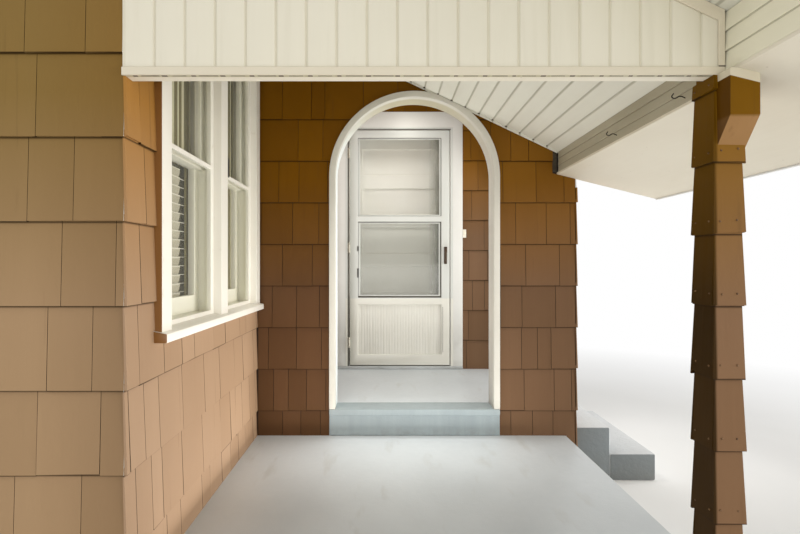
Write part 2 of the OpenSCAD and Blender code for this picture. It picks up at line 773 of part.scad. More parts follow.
// What lies under the sill's sloping top: it slopes from the sill's front edge back to the lower
// sashes and is level behind them
module under_sill(y0, y1, back, front, low, lift) {
    along_y(y0, y1) polygon([[back, low], [front, low], [front, sill_at(front) + lift],
        [max(back, low_sash_x), sill_at(max(back, low_sash_x)) + lift],
        [back, sill_at(max(back, low_sash_x)) + lift]]);
}

module window_frame() color(white) {
    out = house_x + casing_t + 8;
    difference() {
        block(house_x, out, window_end, window_y3 + window_casing, light_z0,
            light_z1 + window_casing);
        for (y = [window_y0, window_y2])
            block(house_x - eps, out + eps, y, y + light_w, light_z0 - eps, light_z1);
        under_sill(window_end - eps, window_y3 + window_casing + eps, house_x - eps, out + eps,
            light_z0 - eps, layer_gap);
    }
    difference() {
        block(house_x - wall_t, house_x, window_y0 - window_casing / 2,
            window_y3 + window_casing / 2, light_z0 - window_casing / 2,
            light_z1 + window_casing / 2);
        for (y = [window_y0, window_y2])
            block(house_x - wall_t - eps, house_x + eps, y, y + light_w, light_z0, light_z1);
    }
}

module window_sill() color(white) {
    under_sill(window_end - sill_ear, window_y3 + window_casing + sill_ear, house_x, sill_x,
        light_z0 - sill_t, 0);
    for (y = [window_y0, window_y2])
        under_sill(y, y + light_w, house_x - wall_t, house_x + eps, light_z0, 0);
}

// Frame of one sash; near is its face towards the porch, low and high its rails' heights
module sash(y, z0, z1, near, thick, stile, low, high) {
    difference() {
        block(near - thick, near, y, y + light_w, z0, z1);
        block(near - thick - eps, near + eps, y + stile, y + light_w - stile, z0 + low, z1 - high);
    }
}

module window_sashes() color(white) for (y = [window_y0, window_y2]) {
    sash(y, meeting_z, light_z1, sash_x, sash_t, sash_w, sash_meeting, sash_w);
    sash(y, sill_at(low_sash_x), meeting_z + sash_meeting, low_sash_x, sash_t, sash_w, sash_foot,
        sash_meeting);
}

module storm_windows() color(white) for (y = [window_y0, window_y2]) {
    difference() {
        sash(y, sill_at(storm_sash_x), meeting_z + storm_rail_h, storm_sash_x, storm_sash_t,
            storm_sash_w, storm_rail_h, storm_rail_h);
        under_sill(y - eps, y + light_w + eps, storm_sash_x - storm_sash_t - eps,
            storm_sash_x + eps, light_z0, layer_gap);
    }
    sash(y, meeting_z, light_z1, storm_sash_x, storm_sash_t, storm_sash_w, storm_rail_h,
        storm_rail_h);
}

// One pane in the middle of its sash's thickness
module pane(y, z0, z1, near, thick, stile) {
    block(near - thick / 2 - pane_t / 2, near - thick / 2 + pane_t / 2, y + stile,
        y + light_w - stile, z0, z1);
}

module window_glass() color([0.75, 0.8, 0.8, 0.4]) for (y = [window_y0, window_y2]) {
    pane(y, meeting_z + sash_meeting, light_z1 - sash_w, sash_x, sash_t, sash_w);
    pane(y, sill_at(low_sash_x) + sash_foot, meeting_z, low_sash_x, sash_t, sash_w);
    pane(y, meeting_z + storm_rail_h, light_z1 - storm_rail_h, storm_sash_x, storm_sash_t,
        storm_sash_w);
    pane(y, sill_at(storm_sash_x) + storm_rail_h, meeting_z, storm_sash_x, storm_sash_t,
        storm_sash_w);
}

module window_blinds() color([0.8, 0.78, 0.66]) for (y = [window_y0, window_y2])
    block(low_sash_x - sash_t - blind_t, low_sash_x - sash_t, y, y + light_w, sill_at(low_sash_x),
        light_z1);

module door_frame() color(white) {
    difference() {
        block(hole_x0, hole_x1, door_y, back_y, entry_z + sill_high, hole_z);
        block(jamb_x0, jamb_x1, door_y - eps, back_y + eps, entry_z, head_z);
    }
    difference() {
        block(jamb_x0, jamb_x1, back_y - leaf_t - leaf_clear - stop_t,
            back_y - leaf_t - leaf_clear, entry_z + sill_high, head_z);
        block(jamb_x0 + stop_w, jamb_x1 - stop_w, door_y, back_y, entry_z, head_z - stop_w);
    }
}

module door_casing() color(white) difference() {
    block(casing_x0, casing_x1, door_y - door_casing_t, door_y, entry_z + sill_low, casing_z);
    block(jamb_x0, jamb_x1, door_y - door_casing_t - eps, door_y + eps, entry_z, head_z);
}

module door_hinges() color([0.5, 0.46, 0.38]) {
    hinges(leaf_pin_x, leaf_pin_y, leaf_z0, leaf_z1, back_y, 1);
    hinges(storm_pin_x, storm_pin_y, storm_z0, storm_z1, door_y - door_casing_t, -1);
}

module threshold() color(grey) {
    block(casing_x0, casing_x1, door_y - door_casing_t - trim_t, door_y, entry_z,
        entry_z + sill_low);
    block(hole_x0, hole_x1, door_y, back_y, entry_z, entry_z + sill_high);
}

module storm_door() color([0.85, 0.84, 0.79]) difference() {
    block(door_x0, door_x1, storm_y, door_y, storm_z0, storm_z1);
    for (hole = [[kick_z, kick_z + kick_h], [lower_z, lower_z + lower_light],
            [upper_z, storm_z1 - top_rail]])
        block(door_x0 + stile_w, door_x1 - stile_w, storm_y - eps, door_y + eps, hole[0], hole[1]);
}

module storm_glass() color([0.8, 0.85, 0.85, 0.4]) {
    mid_y = storm_y + storm_t / 2;
    for (pane = [[lower_z, lower_z + lower_light], [upper_z, storm_z1 - top_rail]])
        block(door_x0 + stile_w, door_x1 - stile_w, mid_y - pane_t / 2, mid_y + pane_t / 2,
            pane[0], pane[1]);
}

module storm_kick_panel() color([0.85, 0.84, 0.79]) {
    x0 = door_x0 + stile_w;
    x1 = door_x1 - stile_w;
    near = storm_y + kick_set;
    bead = (x1 - x0) / kick_beads;
    translate([0, 0, kick_z]) linear_extrude(kick_h) polygon([[x0, door_y - kick_set], [x0, near],
        for (k = [1 : kick_beads - 1]) each [[x0 + k * bead - bead_cut, near],
            [x0 + k * bead, near + bead_cut], [x0 + k * bead + bead_cut, near]],
        [x1, near], [x1, door_y - kick_set]]);
}

module storm_handle() color([0.25, 0.2, 0.16]) {
    low = entry_z + handle_z;
    top = low + handle_h;
    x = door_x1 - stile_w / 2;
    near = storm_y - handle_out;
    back = storm_y - plate_t;
    block(x - latch_w / 2, x + latch_w / 2, back, storm_y, low, top);
    block(x - latch_w / 2, x + latch_w / 2, near + handle_w, storm_y, top - latch_h, top);
    along_x(x - handle_w / 2, x + handle_w / 2) polygon([[storm_y, low], [near + handle_w, low],
        [near, low + handle_w], [near, top - handle_w], [near + handle_w / 2, top],
        [storm_y, top], [storm_y, top - latch_h], [near + handle_w, top - latch_h],
        [near + handle_w, low + handle_w * 1.5], [near + handle_w * 1.5, low + handle_w],
        [storm_y, low + handle_w]]);
}

module house_door() color(white) {
    rails = leaf_foot + leaf_top + leaf_mid * (door_panels - 1);
    panel_h = (leaf_z1 - leaf_z0 - rails) / door_panels;
    difference() {
        block(leaf_x0, leaf_x1, back_y - leaf_t, back_y, leaf_z0, leaf_z1);
        for (k = [0 : door_panels - 1], y = [back_y - leaf_t - eps, back_y - panel_sink])
            let (z = leaf_z0 + leaf_foot + k * (panel_h + leaf_mid))
                block(leaf_x0 + leaf_stile, leaf_x1 - leaf_stile, y, y + panel_sink + eps, z,
                    z + panel_h);
    }
}

module door_bell() color(white) {
    block(casing_x1, casing_x1 + bell_w, bell_y - bell_t, bell_y, bell_z, bell_z + bell_h);
    translate([casing_x1 + bell_w / 2, bell_y - bell_t, bell_z + bell_h / 2])
        rotate([90, 0, 0]) cylinder(r = bell_r, h = bell_push, $fn = 48);
}

footing();
porch_slab();
entry_slab();
arch_riser();
arch_nosing();
street_step_upper();
street_step_lower();
front_wall();
window_wall();
entry_side_wall();
arch_wall_left();
arch_wall_right();
arch_wall_head();
door_wall_left();
door_wall_right();
door_wall_head();
street_wall_piers();
street_wall_head();
front_shingles();
side_shingles();
arch_shingles();
entry_shingles();
street_shingles();
arch_casing();
street_arch_casing();
porch_post();
post_bracket();
front_beam();
side_beam();
beam_cladding();
gable_frame();
gable_boards();
gable_trim();
porch_ceiling();
ceiling_battens();
ceiling_trim();
eave_soffit();
gable_soffit();
fascia_boards();
roof_rafters();
roof_deck();
roof_covering();
entry_ceiling();
entry_roof();
window_frame();
window_sill();
window_sashes();
storm_windows();
window_glass();
window_blinds();
door_frame();
door_casing();
door_hinges();
threshold();
storm_door();
storm_glass();
storm_kick_panel();
storm_handle();
house_door();
door_bell();
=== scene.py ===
import math
import bmesh
import bpy
from mathutils import Matrix, Vector


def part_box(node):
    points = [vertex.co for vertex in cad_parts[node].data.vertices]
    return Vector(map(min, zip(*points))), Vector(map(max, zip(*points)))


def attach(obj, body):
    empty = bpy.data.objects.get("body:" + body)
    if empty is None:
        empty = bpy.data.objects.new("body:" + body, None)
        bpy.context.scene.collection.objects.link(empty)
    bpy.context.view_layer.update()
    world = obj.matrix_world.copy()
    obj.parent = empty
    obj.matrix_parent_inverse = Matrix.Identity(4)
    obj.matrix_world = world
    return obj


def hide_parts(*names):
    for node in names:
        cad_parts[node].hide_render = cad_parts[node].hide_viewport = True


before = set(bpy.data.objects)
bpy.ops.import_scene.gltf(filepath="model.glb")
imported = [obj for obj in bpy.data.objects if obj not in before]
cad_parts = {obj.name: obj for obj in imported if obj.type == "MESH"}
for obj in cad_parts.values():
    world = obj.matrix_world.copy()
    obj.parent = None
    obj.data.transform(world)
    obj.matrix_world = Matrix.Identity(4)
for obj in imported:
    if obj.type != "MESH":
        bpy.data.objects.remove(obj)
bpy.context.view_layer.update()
scene = bpy.context.scene

# The camera stands in front of the porch at chest height and looks straight at the arch wall,
# with the lens shifted a little so that the picture is framed as the photograph is.
def added(name, data):
    """A new object in the scene."""
    made = bpy.data.objects.new(name, data)
    scene.collection.objects.link(made)
    return made


camera = added("camera", bpy.data.cameras.new("camera"))
camera.location = (-0.194, -3.407, 1.45)
camera.rotation_euler = (math.pi / 2, 0, 0)
camera.data.lens = 23.985
camera.data.shift_x = 0.02
camera.data.shift_y = -0.00125
camera.data.clip_end = 200
scene.camera = camera
scene.view_settings.view_transform = "Standard"


# The studio: a pale floor that fades into a white surround, with soft light from all round. Wide
# lamps light the porch from the street and from the front, and weak ones stand for what its
# floors and ceilings throw back.
class Wire:
    """One socket of a node tree; arithmetic on it adds Math nodes to that tree."""

    def __init__(self, tree, socket=None):
        self.tree, self.socket = tree, socket

    def node(self, kind, settings=None, inputs=None, output=0):
        """A new node: its settings go first, then the values or links of its sockets."""
        made = self.tree.nodes.new(kind)
        for name, value in (settings or {}).items():
            setattr(made, name, value)
        for name, value in (inputs or {}).items():
            if isinstance(value, Wire):
                self.tree.links.new(value.socket, made.inputs[name])
            elif value is not None:
                made.inputs[name].default_value = value
        return Wire(self.tree, made.outputs[output])

    def math(self, operation, *values):
        """A Math node on this and the values after it."""
        return self.node("ShaderNodeMath", {"operation": operation},
                         dict(enumerate((self, *values))))

    def __add__(self, other):
        return self.math("ADD", other)

    def __sub__(self, other):
        return self.math("SUBTRACT", other)

    def __rsub__(self, other):
        return self.node("ShaderNodeMath", {"operation": "SUBTRACT"}, {0: other, 1: self})

    def __mul__(self, other):
        return self.math("MULTIPLY", other)

    def __truediv__(self, other):
        return self.math("DIVIDE", other)

    def __lt__(self, other):
        return self.math("LESS_THAN", other)

    def __gt__(self, other):
        return self.math("GREATER_THAN", other)

    __radd__, __rmul__ = __add__, __mul__

    def rising(self, low, high):
        """0 below low, 1 above high, and even between; low above high turns it round."""
        return self.node("ShaderNodeMapRange", None, {0: self, 1: low, 2: high})

    def part(self, axis):
        """One coordinate of a place: 0, 1 or 2."""
        return self.node("ShaderNodeSeparateXYZ", None, {0: self}, axis)

    def noise(self, scale, detail=3.0, stretch=(1, 1, 1)):
        """Noise from 0 to 1 at a place; a small stretch draws it out along that axis."""
        place = self.node("ShaderNodeMapping", None, {"Vector": self, "Scale": stretch})
        return self.node("ShaderNodeTexNoise", None,
                         {"Vector": place, "Scale": scale, "Detail": detail})

    def specks(self, scale):
        """Distance to the nearest of many scattered points."""
        return self.node("ShaderNodeTexVoronoi", None, {"Vector": self, "Scale": scale})

    def between(self, low, high):
        """The colour low where this is 0 and high where it is 1; each is a paint or a wire."""
        low, high = (c if isinstance(c, Wire) else shade_of(*c) for c in (low, high))
        return self.node("ShaderNodeMix", {"data_type": "RGBA"}, {0: self, 6: low, 7: high}, 2)

    def relief(self, depth):
        """A normal that shows this as height, in metres."""
        return self.node("ShaderNodeBump", None,
                         {"Strength": 1.0, "Distance": depth, "Height": self})


def shade_of(red, green, blue):
    """A colour as a paint chart gives it, 0 to 255, in the shader's own scale."""
    parts = (c / 255 for c in (red, green, blue))
    return (*(c / 12.92 if c < 0.04045 else ((c + 0.055) / 1.055) ** 2.4 for c in parts), 1.0)


def finish(name, metal=0.0, rough=0.5):
    """A new material, its shader and the place on the piece."""
    material = bpy.data.materials.new(name)
    material.use_nodes = True
    skin = material.node_tree.nodes["Principled BSDF"]
    skin.inputs["Metallic"].default_value = metal
    skin.inputs["Roughness"].default_value = rough
    place = Wire(material.node_tree).node("ShaderNodeTexCoord", output="Object")
    return material, skin, place


def put(skin, **looks):
    """Links what varies over the surface to the shader's sockets."""
    for name, wire in looks.items():
        wire.tree.links.new(wire.socket, skin.inputs[name.replace("_", " ")])


def mottled(name, scale, one, other, detail=3, metal=0.0, rough=0.5):
    """A small part's finish, which wavers between two colours."""
    material, skin, place = finish(name, metal, rough)
    put(skin, Base_Color=place.noise(scale, detail).between(one, other))
    return material


FLOOR_HALF = 30.0
floor = added("studio_floor", bpy.data.meshes.new("studio_floor"))
floor.data.from_pydata([(x * FLOOR_HALF, y * FLOOR_HALF, 0) for x, y in
                        ((-1, -1), (1, -1), (1, 1), (-1, 1))], [], [(0, 1, 2, 3)])
floor_finish, skin, place = finish("studio_floor", rough=0.9)
away = (place.part(0) * place.part(0) + place.part(1) * place.part(1)).math("SQRT")
fade = away.rising(3.5, 7.0)
put(skin, Base_Color=(place.noise(0.8) * 0.1 + 0.9).between((0, 0, 0), (236, 236, 234)))
shown = Wire(floor_finish.node_tree).node("ShaderNodeLightPath", output="Is Camera Ray")
glow = fade.node("ShaderNodeEmission", None, {"Color": (1, 1, 1, 1)})
mixed = fade.node("ShaderNodeMixShader", None, {0: fade * shown, 1: Wire(
    floor_finish.node_tree, skin.outputs[0]), 2: glow})
floor_finish.node_tree.links.new(
    mixed.socket, floor_finish.node_tree.nodes["Material Output"].inputs["Surface"])
floor.data.materials.append(floor_finish)

world = bpy.data.worlds.new("surround")
scene.world = world
world.use_nodes = True
sky = world.node_tree
rays = sky.nodes.new("ShaderNodeLightPath")
seen = Wire(sky, rays.outputs["Is Camera Ray"])
for name in ("Is Glossy Ray", "Is Transmission Ray"):
    seen = seen.math("MAXIMUM", Wire(sky, rays.outputs[name]))
SKY_LIGHT = 0.8
background = sky.nodes["Background"]
sky.links.new((seen * (1 - SKY_LIGHT) + SKY_LIGHT).socket, background.inputs["Strength"])
background.inputs["Color"].default_value = (1, 1, 1, 1)


def lamp(name, place, target, width, height, watts, colour, shown=True, spread=180):
    """A soft lamp that faces a point and isn't seen; shown says whether panes mirror it."""
    light = added(name, bpy.data.lights.new(name, "AREA"))
    light.data.shape, light.data.size, light.data.size_y = "RECTANGLE", width, height
    light.data.energy, light.data.color = watts, colour
    light.data.spread = math.radians(spread)
    light.location = place
    light.rotation_mode = "QUATERNION"
    light.rotation_quaternion = (Vector(target) - Vector(place)).to_track_quat("-Z", "Y")
    light.visible_camera = False
    light.visible_glossy = light.visible_transmission = shown


WARM, PLAIN = (1.0, 0.96, 0.90), (1.0, 0.99, 0.97)
lamp("street_lamp", (10.8, -3.25, 2.05), (-0.9, -0.7, 1.5), 6.8, 4.0, 610, WARM)
lamp("front_lamp", (0.3, -7.0, 0.9), (0.0, 0.3, 2.1), 6.0, 1.2, 78, PLAIN)
lamp("street_arch_lamp", (3.4, 0.8, 1.0), (-0.6, 0.9, 2.0), 1.6, 1.6, 26, PLAIN, True, 100)
lamp("floor_bounce", (-0.1, -0.85, 0.42), (-0.1, -0.85, 3.0), 1.7, 1.5, 14, PLAIN, False)
lamp("ceiling_bounce", (-0.1, -0.34, 2.02), (-0.1, -0.30, 0.0), 1.5, 0.5, 3.2, PLAIN, False, 60)
lamp("entry_floor_bounce", (-0.1, 0.55, 0.60), (-0.1, 0.70, 3.0), 1.3, 0.6, 6, PLAIN, False, 120)
lamp("entry_ceiling_bounce", (-0.1, 0.60, 3.20), (-0.1, 0.7, 0.5), 1.3, 0.7, 14, PLAIN, False, 110)
lamp("entry_light", (0.0, 1.08, 2.66), (0.0, 1.30, 2.62), 0.14, 0.08, 0.25, WARM, False)


# Footings and street steps: rough grey concrete poured against boards, damp and darker at the
# ground, with the pits and the dust that such concrete has. The steps' faces towards the front
# are painted shade, bluer and darker.
def rest(piece, body, slot, *nodes):
    """Fixes a finished piece to its body and hides the nodes that it stands for; slot is not used.
    """
    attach(piece, body)
    if nodes:
        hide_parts(*nodes)


def applied(piece):
    """Turns a piece and its modifiers into a plain mesh."""
    bpy.context.view_layer.update()
    evaluated = piece.evaluated_get(bpy.context.evaluated_depsgraph_get())
    piece.data = bpy.data.meshes.new_from_object(evaluated)
    piece.modifiers.clear()
    return piece


def coated(mesh, material):
    """Gives a mesh this one finish."""
    mesh.materials.clear()
    mesh.materials.append(material)


SMOOTH_UNDER = math.radians(20)


def settle(piece):
    """Applies the modifiers, and shades only the shallow turns smooth."""
    applied(piece)
    shape = bmesh.new()
    shape.from_mesh(piece.data)
    for face in shape.faces:
        face.smooth = True
    for edge in shape.edges:
        edge.smooth = len(edge.link_faces) == 2 and edge.calc_face_angle(0) < SMOOTH_UNDER
    shape.to_mesh(piece.data)
    shape.free()


WELD, FLAT, ARRIS = 2e-5, math.radians(0.6), math.radians(30)


def eased(node, material, slot, width=0.002, segments=2, body="house"):
    """The CAD solid again, with its arrises rounded as paint and wear leave them."""
    piece = added(node + "_eased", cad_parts[node].data.copy())
    shape = bmesh.new()
    shape.from_mesh(piece.data)
    bmesh.ops.remove_doubles(shape, verts=shape.verts, dist=WELD)
    bmesh.ops.dissolve_limit(shape, angle_limit=FLAT, verts=shape.verts, edges=shape.edges)
    shape.to_mesh(piece.data)
    shape.free()
    bevel = piece.modifiers.new("arris", "BEVEL")
    bevel.width, bevel.segments = width, segments
    bevel.limit_method, bevel.angle_limit = "ANGLE", ARRIS
    coated(piece.data, material)
    settle(piece)
    rest(piece, body, slot, node)


def dressed(node, material):
    """Gives a CAD solid that is right as it is its finish."""
    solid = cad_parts[node]
    coated(solid.data, material)


def poured(name, deep, pale, shade_near_faces=False):
    """Concrete with clouds, pits and a damp foot; with shade_near_faces, near faces get painted
    shade.
    """
    material, skin, place = finish(name, rough=0.9)
    cloud = place.noise(3.5, 6)
    pits = place.specks(55).rising(0.16, 0.05)
    damp = place.part(2).rising(0.22, 0.0) * place.noise(6, 4)
    tone = (cloud * 1.2 - 0.1).between(deep, pale)
    if shade_near_faces:
        # Painted shade: the faces towards the front turn bluer and darker.
        tone = (place.part(1) < STEP_NEAR + 0.004).between(tone, (120, 126, 128))
    put(skin, Base_Color=(damp * 0.8 + pits * 0.3).between(tone, (104, 102, 94)),
        Normal=(place.noise(38, 8) - pits * 0.5).relief(0.004))
    return material


STEP_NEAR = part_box("street_step_upper")[0].y
concrete = poured("poured_concrete", (146, 146, 142), (186, 186, 182))
step_paint = poured("step_paint", (188, 191, 192), (206, 208, 209), True)
for node in ("street_step_upper", "street_step_lower"):
    eased(node, step_paint, "concrete", 0.012, 3)
dressed("footing", concrete)


# The porch floor and the entry floor: concrete under pale grey floor paint, rubbed thin where
# people walk and rounded at the edges by the float.
floor_paint, skin, place = finish("floor_paint", rough=0.42)
wear = place.noise(1.1, 5, (1, 0.7, 1)).rising(0.42, 0.68)
fine = place.noise(26, 8)
scuffs = place.noise(9, 6, (1, 0.25, 1)).rising(0.62, 0.72)
tone = wear.between((200, 205, 207), (184, 189, 191))
put(skin, Base_Color=(scuffs * 0.35).between(tone, (168, 167, 160)),
    Roughness=fine * 0.25 + 0.3,
    Normal=(fine * 0.6 + place.noise(140, 4) * 0.4).relief(0.0016))
eased("porch_slab", floor_paint, "floor_paint", 0.010, 3)
dressed("entry_slab", floor_paint)


# The riser under the arch and its nosing: the same concrete in a bluer grey paint, with runs down
# the face and scuffs from shoes along its foot.
riser_paint, skin, place = finish("riser_paint", rough=0.5)
runs = place.noise(20, 4, (1, 1, 0.06))
scuffs = place.part(2).rising(0.43, 0.375) * place.noise(30, 6).rising(0.4, 0.7)
tone = runs.between((138, 149, 152), (159, 169, 171))
put(skin, Base_Color=(scuffs * 0.6).between(tone, (128, 130, 126)),
    Normal=place.noise(60, 6).relief(0.0014))
eased("arch_riser", riser_paint, "riser_paint", 0.004, 2)
eased("arch_nosing", riser_paint, "floor_paint", 0.009, 4)


# The framed walls: boarded with wide planks and painted brown where they show inside, at the cut
# ends and above the porch roof. Outside, shingles cover them, and their faces there are near black,
# as felt and as painted shade in the joints between the shingles.
LEFT_WALL, STREET_WALL, DOOR_WALL, FRONT_WALL = -1.012, 1.025, 1.322, -1.727
BOARD_PITCH = 0.138
wall_paint, skin, place = finish("boarded_wall", rough=0.7)
board = place.part(2) / BOARD_PITCH
line = board.math("PINGPONG", 0.5).rising(0.022, 0.008)
each = board.node("ShaderNodeTexWhiteNoise", {"noise_dimensions": "1D"},
                  {"W": board.math("FLOOR")})
grain = place.noise(14, 6, (0.12, 0.12, 1))
tone = (each * 0.5 + grain * 0.5).between((116, 92, 68), (146, 118, 90))
felt_and_joint_shade = 0
for axis, face in ((0, LEFT_WALL), (0, STREET_WALL), (1, FRONT_WALL), (1, 0.0), (1, DOOR_WALL)):
    near = (place.part(axis) - face).math("ABSOLUTE") < 0.001
    felt_and_joint_shade = near.math("MAXIMUM", felt_and_joint_shade)
# Painted shade: the faces under the shingles are near black, so the joints show dark.
tone = felt_and_joint_shade.between((line * 0.8).between(tone, (48, 36, 26)), (34, 24, 16))
put(skin, Base_Color=tone, Normal=(grain * 0.4 - line).relief(0.003))
for node in ("front_wall", "window_wall", "entry_side_wall", "arch_wall_left", "arch_wall_right",
             "arch_wall_head", "door_wall_left", "door_wall_right", "door_wall_head",
             "street_wall_piers", "street_wall_head"):
    dressed(node, wall_paint)


# The wall shingles: sawn boards of uneven width, thick at the lower edge, nailed in lapped courses
# 265 mm apart and painted brown many times over. Each one hangs a little out of line.
COURSE, HAIR = 0.265, 0.0002
ROOF_FALL, CEILING_AT_ARCH, ROOF_DEPTH = 0.4755, 2.611, 0.182


def pattern(name, **sizes):
    """A Geometry Nodes tree that makes its own mesh, with a named input for each size."""
    tree = bpy.data.node_groups.new(name, "GeometryNodeTree")
    tree.interface.new_socket("Geometry", in_out="OUTPUT", socket_type="NodeSocketGeometry")
    kinds = {int: "NodeSocketInt", float: "NodeSocketFloat", type(None): "NodeSocketMaterial"}
    for size, value in sizes.items():
        kind = kinds[type(value)]
        socket = tree.interface.new_socket(size, in_out="INPUT", socket_type=kind)
        if value is not None:
            socket.default_value = value
    given = tree.nodes.new("NodeGroupInput")
    return tree, [Wire(tree, given.outputs[size]) for size in sizes]


def chance(low, high, who, seed):
    """A random number from low to high for each value of who."""
    return who.node("FunctionNodeRandomValue", {"data_type": "FLOAT"},
                    {2: low, 3: high, 7: who, 8: seed}, 1)


def habit(who, seed):
    """For each value of who a tone from 0 to 1 and two leanings from -1 to 1."""
    return vector(chance(0.0, 1.0, who, seed), chance(-1.0, 1.0, who, seed + 1),
                  chance(-1.0, 1.0, who, seed + 2))


def kept(geometry, name, value, kind="FLOAT_VECTOR", domain="POINT"):
    """Keeps a value on the geometry under a name."""
    return geometry.node("GeometryNodeStoreNamedAttribute", {"data_type": kind, "domain": domain},
                         {"Geometry": geometry, "Name": name, "Value": value})


def recall(wire, name):
    """The three parts of a value that was kept."""
    found = wire.node("GeometryNodeInputNamedAttribute", {"data_type": "FLOAT_VECTOR"},
                      {"Name": name})
    return [found.part(axis) for axis in range(3)]


def vector(x, y, z):
    wire = next(w for w in (x, y, z) if isinstance(w, Wire))
    return wire.node("ShaderNodeCombineXYZ", None, {0: x, 1: y, 2: z})


def bricks(points, along, across, up):
    """One block for each point, cut into small squares, with its place in the block kept."""
    block = points.node("GeometryNodeMeshCube", None, {
        "Size": (1, 1, 1), "Vertices X": along, "Vertices Y": across, "Vertices Z": up})
    where = block.node("GeometryNodeInputPosition")
    half = where.node("ShaderNodeVectorMath", {"operation": "ADD"}, {0: where, 1: (0.5,) * 3})
    block = kept(block, "cell", half)
    laid = points.node("GeometryNodeInstanceOnPoints", None, {"Points": points, "Instance": block})
    return laid.node("GeometryNodeRealizeInstances", None, {"Geometry": laid})


def close(geometry, place, material):
    """Puts the corners in their places, sets the material and ends the tree."""
    if place is not None:
        geometry = geometry.node("GeometryNodeSetPosition", None,
                                 {"Geometry": geometry, "Position": place})
    geometry = geometry.node("GeometryNodeSetMaterial", None,
                             {"Geometry": geometry, "Material": material})
    end = geometry.tree.nodes.new("NodeGroupOutput")
    geometry.tree.links.new(geometry.socket, end.inputs[0])


def lay(name, tree, **sizes):
    """Runs a pattern with these sizes and returns its result as a plain mesh."""
    piece = added(name, bpy.data.meshes.new(name))
    modifier = piece.modifiers.new("pattern", "NODES")
    modifier.node_group = tree
    for socket in tree.interface.items_tree:
        if socket.in_out == "INPUT" and socket.name in sizes:
            modifier[socket.identifier] = sizes[socket.name]
    return applied(piece)


def prism(outlines, near, far, turned=False):
    """Solids drawn out along Y from outlines in X and Z, or along X from outlines in Y and Z."""
    solid = added("cutter", bpy.data.meshes.new("cutter"))
    shape = bmesh.new()
    for outline in outlines:
        corners = [[shape.verts.new((y, a, z) if turned else (a, y, z)) for a, z in outline]
                   for y in (near, far)]
        shape.faces.new(corners[0])
        shape.faces.new(reversed(corners[1]))
        for k, corner in enumerate(corners[0]):
            shape.faces.new((corners[0][k - 1], corner, corners[1][k], corners[1][k - 1]))
    bmesh.ops.recalc_face_normals(shape, faces=shape.faces)
    shape.to_mesh(solid.data)
    shape.free()
    return solid


def shaped(piece, cutters):
    """Cuts a piece by solids: each comes with INTERSECT to keep what is in it, or DIFFERENCE."""
    for operation, solid in cutters:
        cut = piece.modifiers.new(operation, "BOOLEAN")
        cut.operation, cut.solver, cut.object = operation, "EXACT", solid
    applied(piece)
    for _, solid in cutters:
        bpy.data.objects.remove(solid)


def boxed(a, b, low, high):
    return [(a, low), (b, low), (b, high), (a, high)]


def ceiling_at(x):
    return CEILING_AT_ARCH - ROOF_FALL * x


tree, (length, courses, pitch, start, lap, butt, tip, narrow, wide, gap, uneven, seed,
       paint) = pattern(
    "lapped_shingles", Length=1.0, Courses=8, Pitch=COURSE, Start=0.0, Lap=0.022, Butt=0.0155,
    Tip=0.006, Narrow=0.085, Wide=0.27, Gap=0.0028, Uneven=0.0035, Seed=1, Finish=None)
row = (length / narrow).math("CEIL") + 2
index = length.node("GeometryNodeInputIndex")
course = ((index + 0.5) / row).math("FLOOR")
width = chance(narrow, wide, index, seed)
passed = width.node("GeometryNodeAccumulateField", {"data_type": "FLOAT"},
                    {0: width, 1: course}, 1) - chance(0.0, wide, course, seed + 1)
narrowest = 0.012
left = passed * (passed > narrowest)
ends = passed + width
right = (ends + (ends > length - narrowest)).math("MINIMUM", length)
points = length.node("GeometryNodePoints", None, {"Count": courses * row})
points = kept(points, "span", vector(left, right, course * pitch + start))
points = kept(points, "habit", habit(index, seed + 2))
points = points.node("GeometryNodeDeleteGeometry", None,
                     {"Geometry": points, "Selection": (right - left) < narrowest})
boards = bricks(points, 4, 2, 2)
along, inward, up = recall(boards, "cell")
left, right, foot = recall(boards, "span")
tone, drop, lean = recall(boards, "habit")
x = left + gap / 2 + along * (right - left - gap)
low = foot + (drop + lean * (along - 0.5)) * uneven
z = low + up * (foot + pitch + lap - low)
front = butt - (butt - tip) * (z - foot) / pitch
cup = (along - 0.5) * (along - 0.5) * (1 - up) * drop * 0.004
back = (1 - up) * (tip + 2 * HAIR) + HAIR
y = (front + cup) * (1 - inward) + back * inward
facing = boards.node("GeometryNodeInputNormal").part(0)
field_end = (left < 0.001) * (facing < 0.0) + (right > length - 0.001) * (facing > 0.0)
joint = (facing.math("ABSOLUTE") > 0.9) * (1.0 - field_end)
boards = kept(boards, "tone", tone - joint * 3.0, "FLOAT", "FACE")
close(boards, vector(x, y * -1.0, z), paint)
shingle_pattern = tree


def band_under_laps(place, first, pitch, depth):
    """A band right under the laps of courses that start at a height, one pitch apart, for painted
    shade.
    """
    course = (place.part(2) - first) / pitch
    past = (course - course.math("FLOOR")) * pitch
    return past.rising(pitch - depth, pitch - depth * 0.3)


